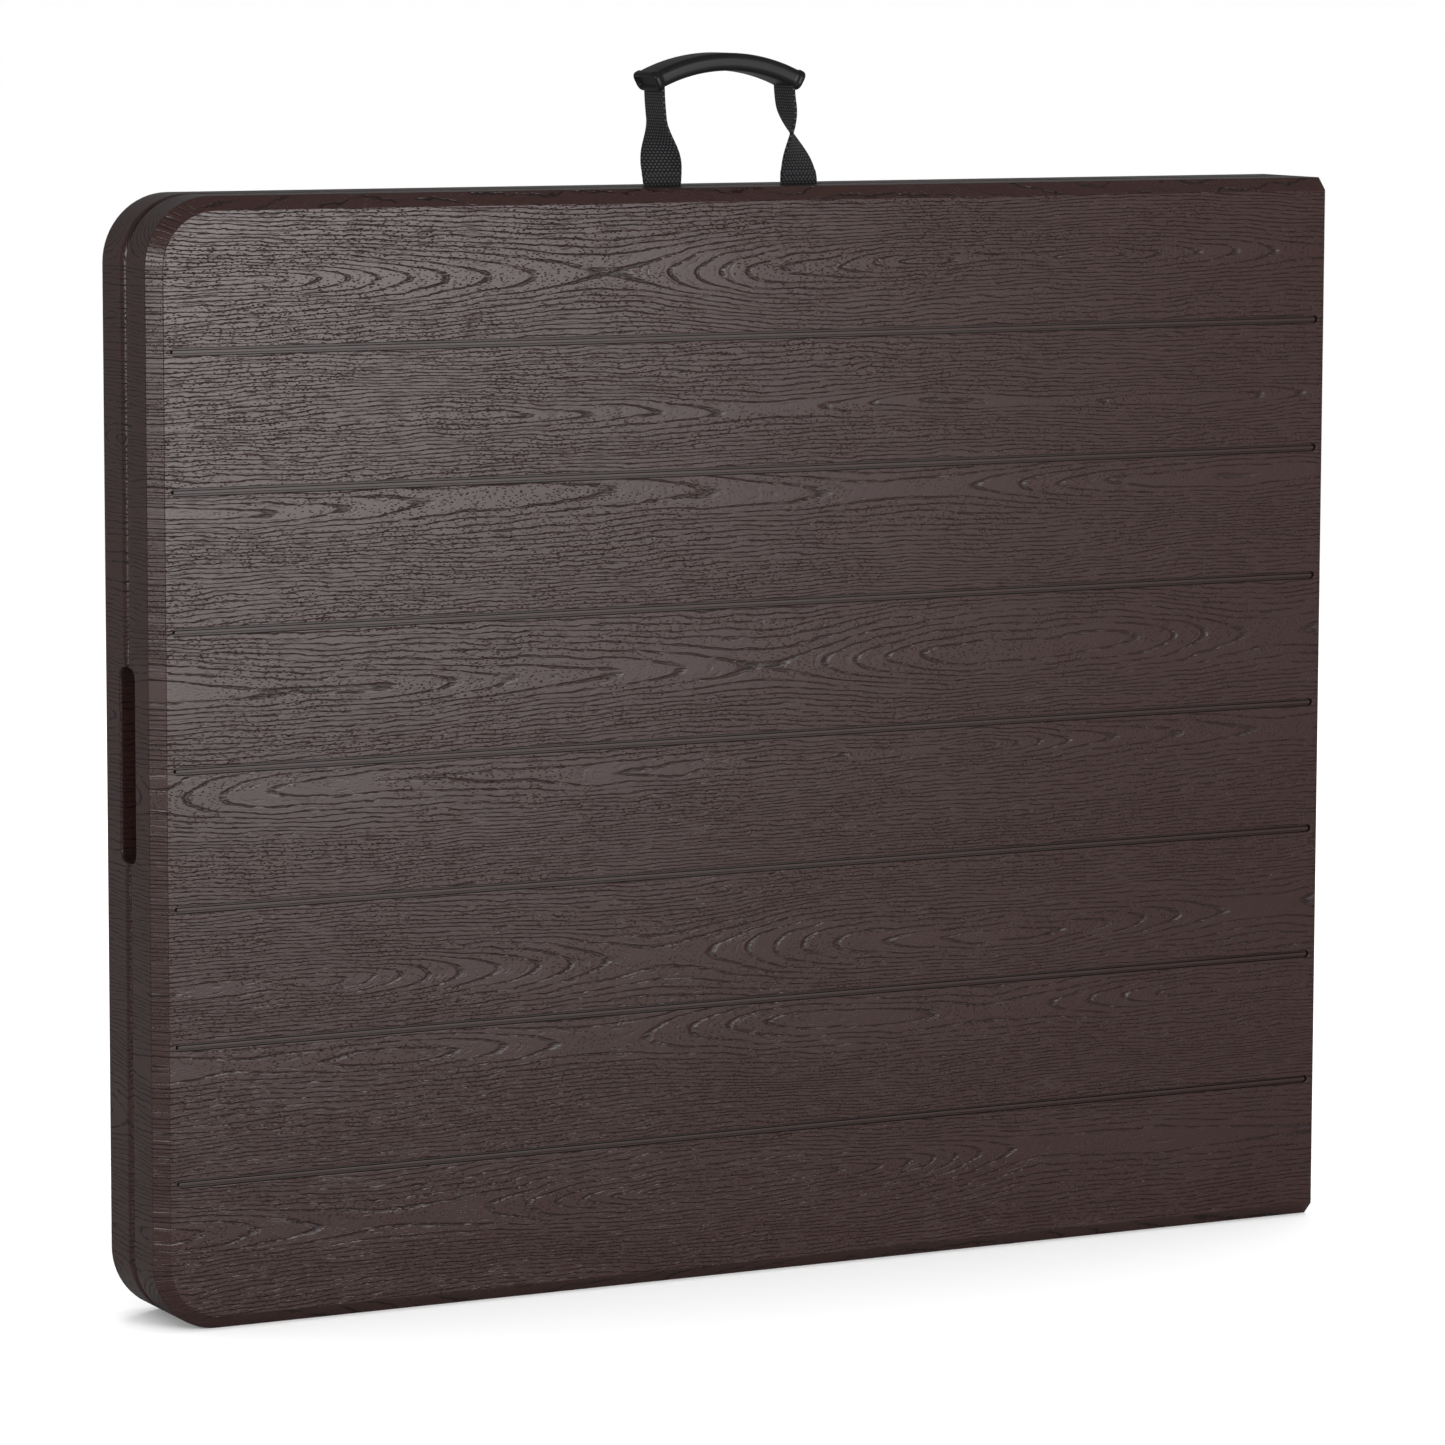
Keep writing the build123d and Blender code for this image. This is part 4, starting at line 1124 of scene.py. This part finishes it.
def makeSleeve():
    size = sleeveSize
    limit = math.asin(size["reach"] / size["radius"])

    def section(shrink):
        half = size["wide"] / 2 - shrink
        low, high = -size["below"] + shrink, size["above"] - shrink
        r = max(size["corner"] - shrink, 0.6)
        corners = ((half - r, high - r, 0), (-half + r, high - r, 90),
                   (-half + r, low + r, 180), (half - r, low + r, 270))
        points = []
        for across, out, start in corners:
            for k in range(size["cornerSteps"] + 1):
                a = math.radians(start + 90 * k / size["cornerSteps"])
                points.append((across + r * math.cos(a), out + r * math.sin(a)))
        return points

    stations = [(shrink, -limit + along / size["radius"]) for shrink, along in size["ends"]]
    lip = size["lipLong"] / size["radius"]
    stations += [(0.0, -limit + lip), (size["lip"] * 0.5, -limit + lip * 1.12),
                 (size["lip"], -limit + lip * 1.3)]
    firstEnd = list(stations)
    stations += [(size["lip"], -limit + lip * 1.3 + (limit - lip * 1.3) * 2 * k / size["steps"])
                 for k in range(1, size["steps"])]
    stations += [(shrink, -angle) for shrink, angle in reversed(firstEnd)]
    bm = bmesh.new()
    loops = []
    for shrink, angle in stations:
        loop = []
        for across, out in section(shrink):
            r = size["radius"] + out
            loop.append(bm.verts.new(((size["middleX"] + r * math.sin(angle)) * mm,
                                      (-strapSize["depth"] + across) * mm,
                                      (size["middleZ"] + r * math.cos(angle)) * mm)))
        loops.append(loop)
    for first, second in zip(loops, loops[1:]):
        bridge(bm, first, second)
    bm.faces.new(loops[0])
    bm.faces.new(loops[-1])
    sleeve = settle("gripSleeve", bm, finishes["grip_plastic"], 50)
    handOver(sleeve, "handle_grip")


makeStrap()
makeStitches()
makeSleeve()
print("handle made")


cameraSize = {"lens": 156.16, "sensor": 36, "near": 0.05, "far": 600, "yaw": 27.43, "pitch": 7.02,
              "roll": 0.148, "place": (-1.99175, -3.816, 0.909)}


def makeCamera():
    size = cameraSize
    yaw, pitch, roll = (math.radians(size[k]) for k in ("yaw", "pitch", "roll"))
    ahead = Vector((math.sin(yaw) * math.cos(pitch), math.cos(yaw) * math.cos(pitch), -math.sin(pitch)))
    right = Vector((math.cos(yaw), -math.sin(yaw), 0))
    up = right.cross(ahead)
    localX = right * math.cos(roll) + up * math.sin(roll)
    localY = up * math.cos(roll) - right * math.sin(roll)
    data = bpy.data.cameras.new("camera")
    data.lens = size["lens"]
    data.sensor_width = size["sensor"]
    data.clip_start = size["near"]
    data.clip_end = size["far"]
    camera = addObject("camera", data)
    turn = Matrix((localX, localY, -ahead)).transposed().to_4x4()
    camera.matrix_world = Matrix.Translation(size["place"]) @ turn
    scene.camera = camera


stageSize = {"floor": 420.0, "floorTone": 0.95, "floorRoughness": 0.75, "floorShine": 0.1,
             "world": 1.12, "inReflections": 0.20}
lampSize = {
    "sheen": {"at": (0.55, -3.1, 0.80), "aim": (-0.3, 0, 0.45), "size": (1.4, 1.5), "power": 100,
              "mirrored": True},
    "left": {"at": (-3.2, -1.5, 1.0), "aim": (-0.44, 0, 0.45), "size": (0.5, 1.1), "power": 60,
             "mirrored": True},
    "behind": {"at": (0.9, 3.2, 2.6), "aim": (0, 0, 0.4), "size": (1.6, 1.2), "power": 50,
               "mirrored": False},
}


def makeStage():
    bm = bmesh.new()
    bmesh.ops.create_grid(bm, x_segments=4, y_segments=4, size=stageSize["floor"] / 2)
    floor = fromBmesh("floor", bm, smooth=False)
    tone = stageSize["floorTone"]
    finish = Finish("paleFloor", (tone, tone, tone), stageSize["floorRoughness"],
                    Specular_IOR_Level=stageSize["floorShine"])
    mirrored = finish.node("ShaderNodeLightPath", output=3)  # the studio looks darker in reflections
    dim = tuple(tone * stageSize["inReflections"] for k in range(3))
    finish.colour(finish.mix(mirrored, (tone, tone, tone), dim))
    paint(floor, finish.material)
    world = bpy.data.worlds.new("studio")
    scene.world = world
    world.use_nodes = True
    tree = world.node_tree
    sky = tree.nodes["Background"]
    sky.inputs[0].default_value = (1, 1, 1, 1)
    seen = Value(tree, addNode(tree, "ShaderNodeLightPath", {}, {}).outputs[3])
    feed(tree, sky.inputs[1], (1 - seen * (1 - stageSize["inReflections"])) * stageSize["world"])
    for name, size in lampSize.items():
        data = bpy.data.lights.new(name, "AREA")
        data.shape = "RECTANGLE"
        data.size = size["size"][0]
        data.size_y = size["size"][1]
        data.energy = size["power"]
        lamp = addObject(name, data)
        lamp.visible_glossy = size["mirrored"]
        at, aim = Vector(size["at"]), Vector(size["aim"])
        turn = (aim - at).to_track_quat("-Z", "Y").to_matrix().to_4x4()
        lamp.matrix_world = Matrix.Translation(at) @ turn
    scene.view_settings.view_transform = "Standard"


makeCamera()
makeStage()
print("stage set")
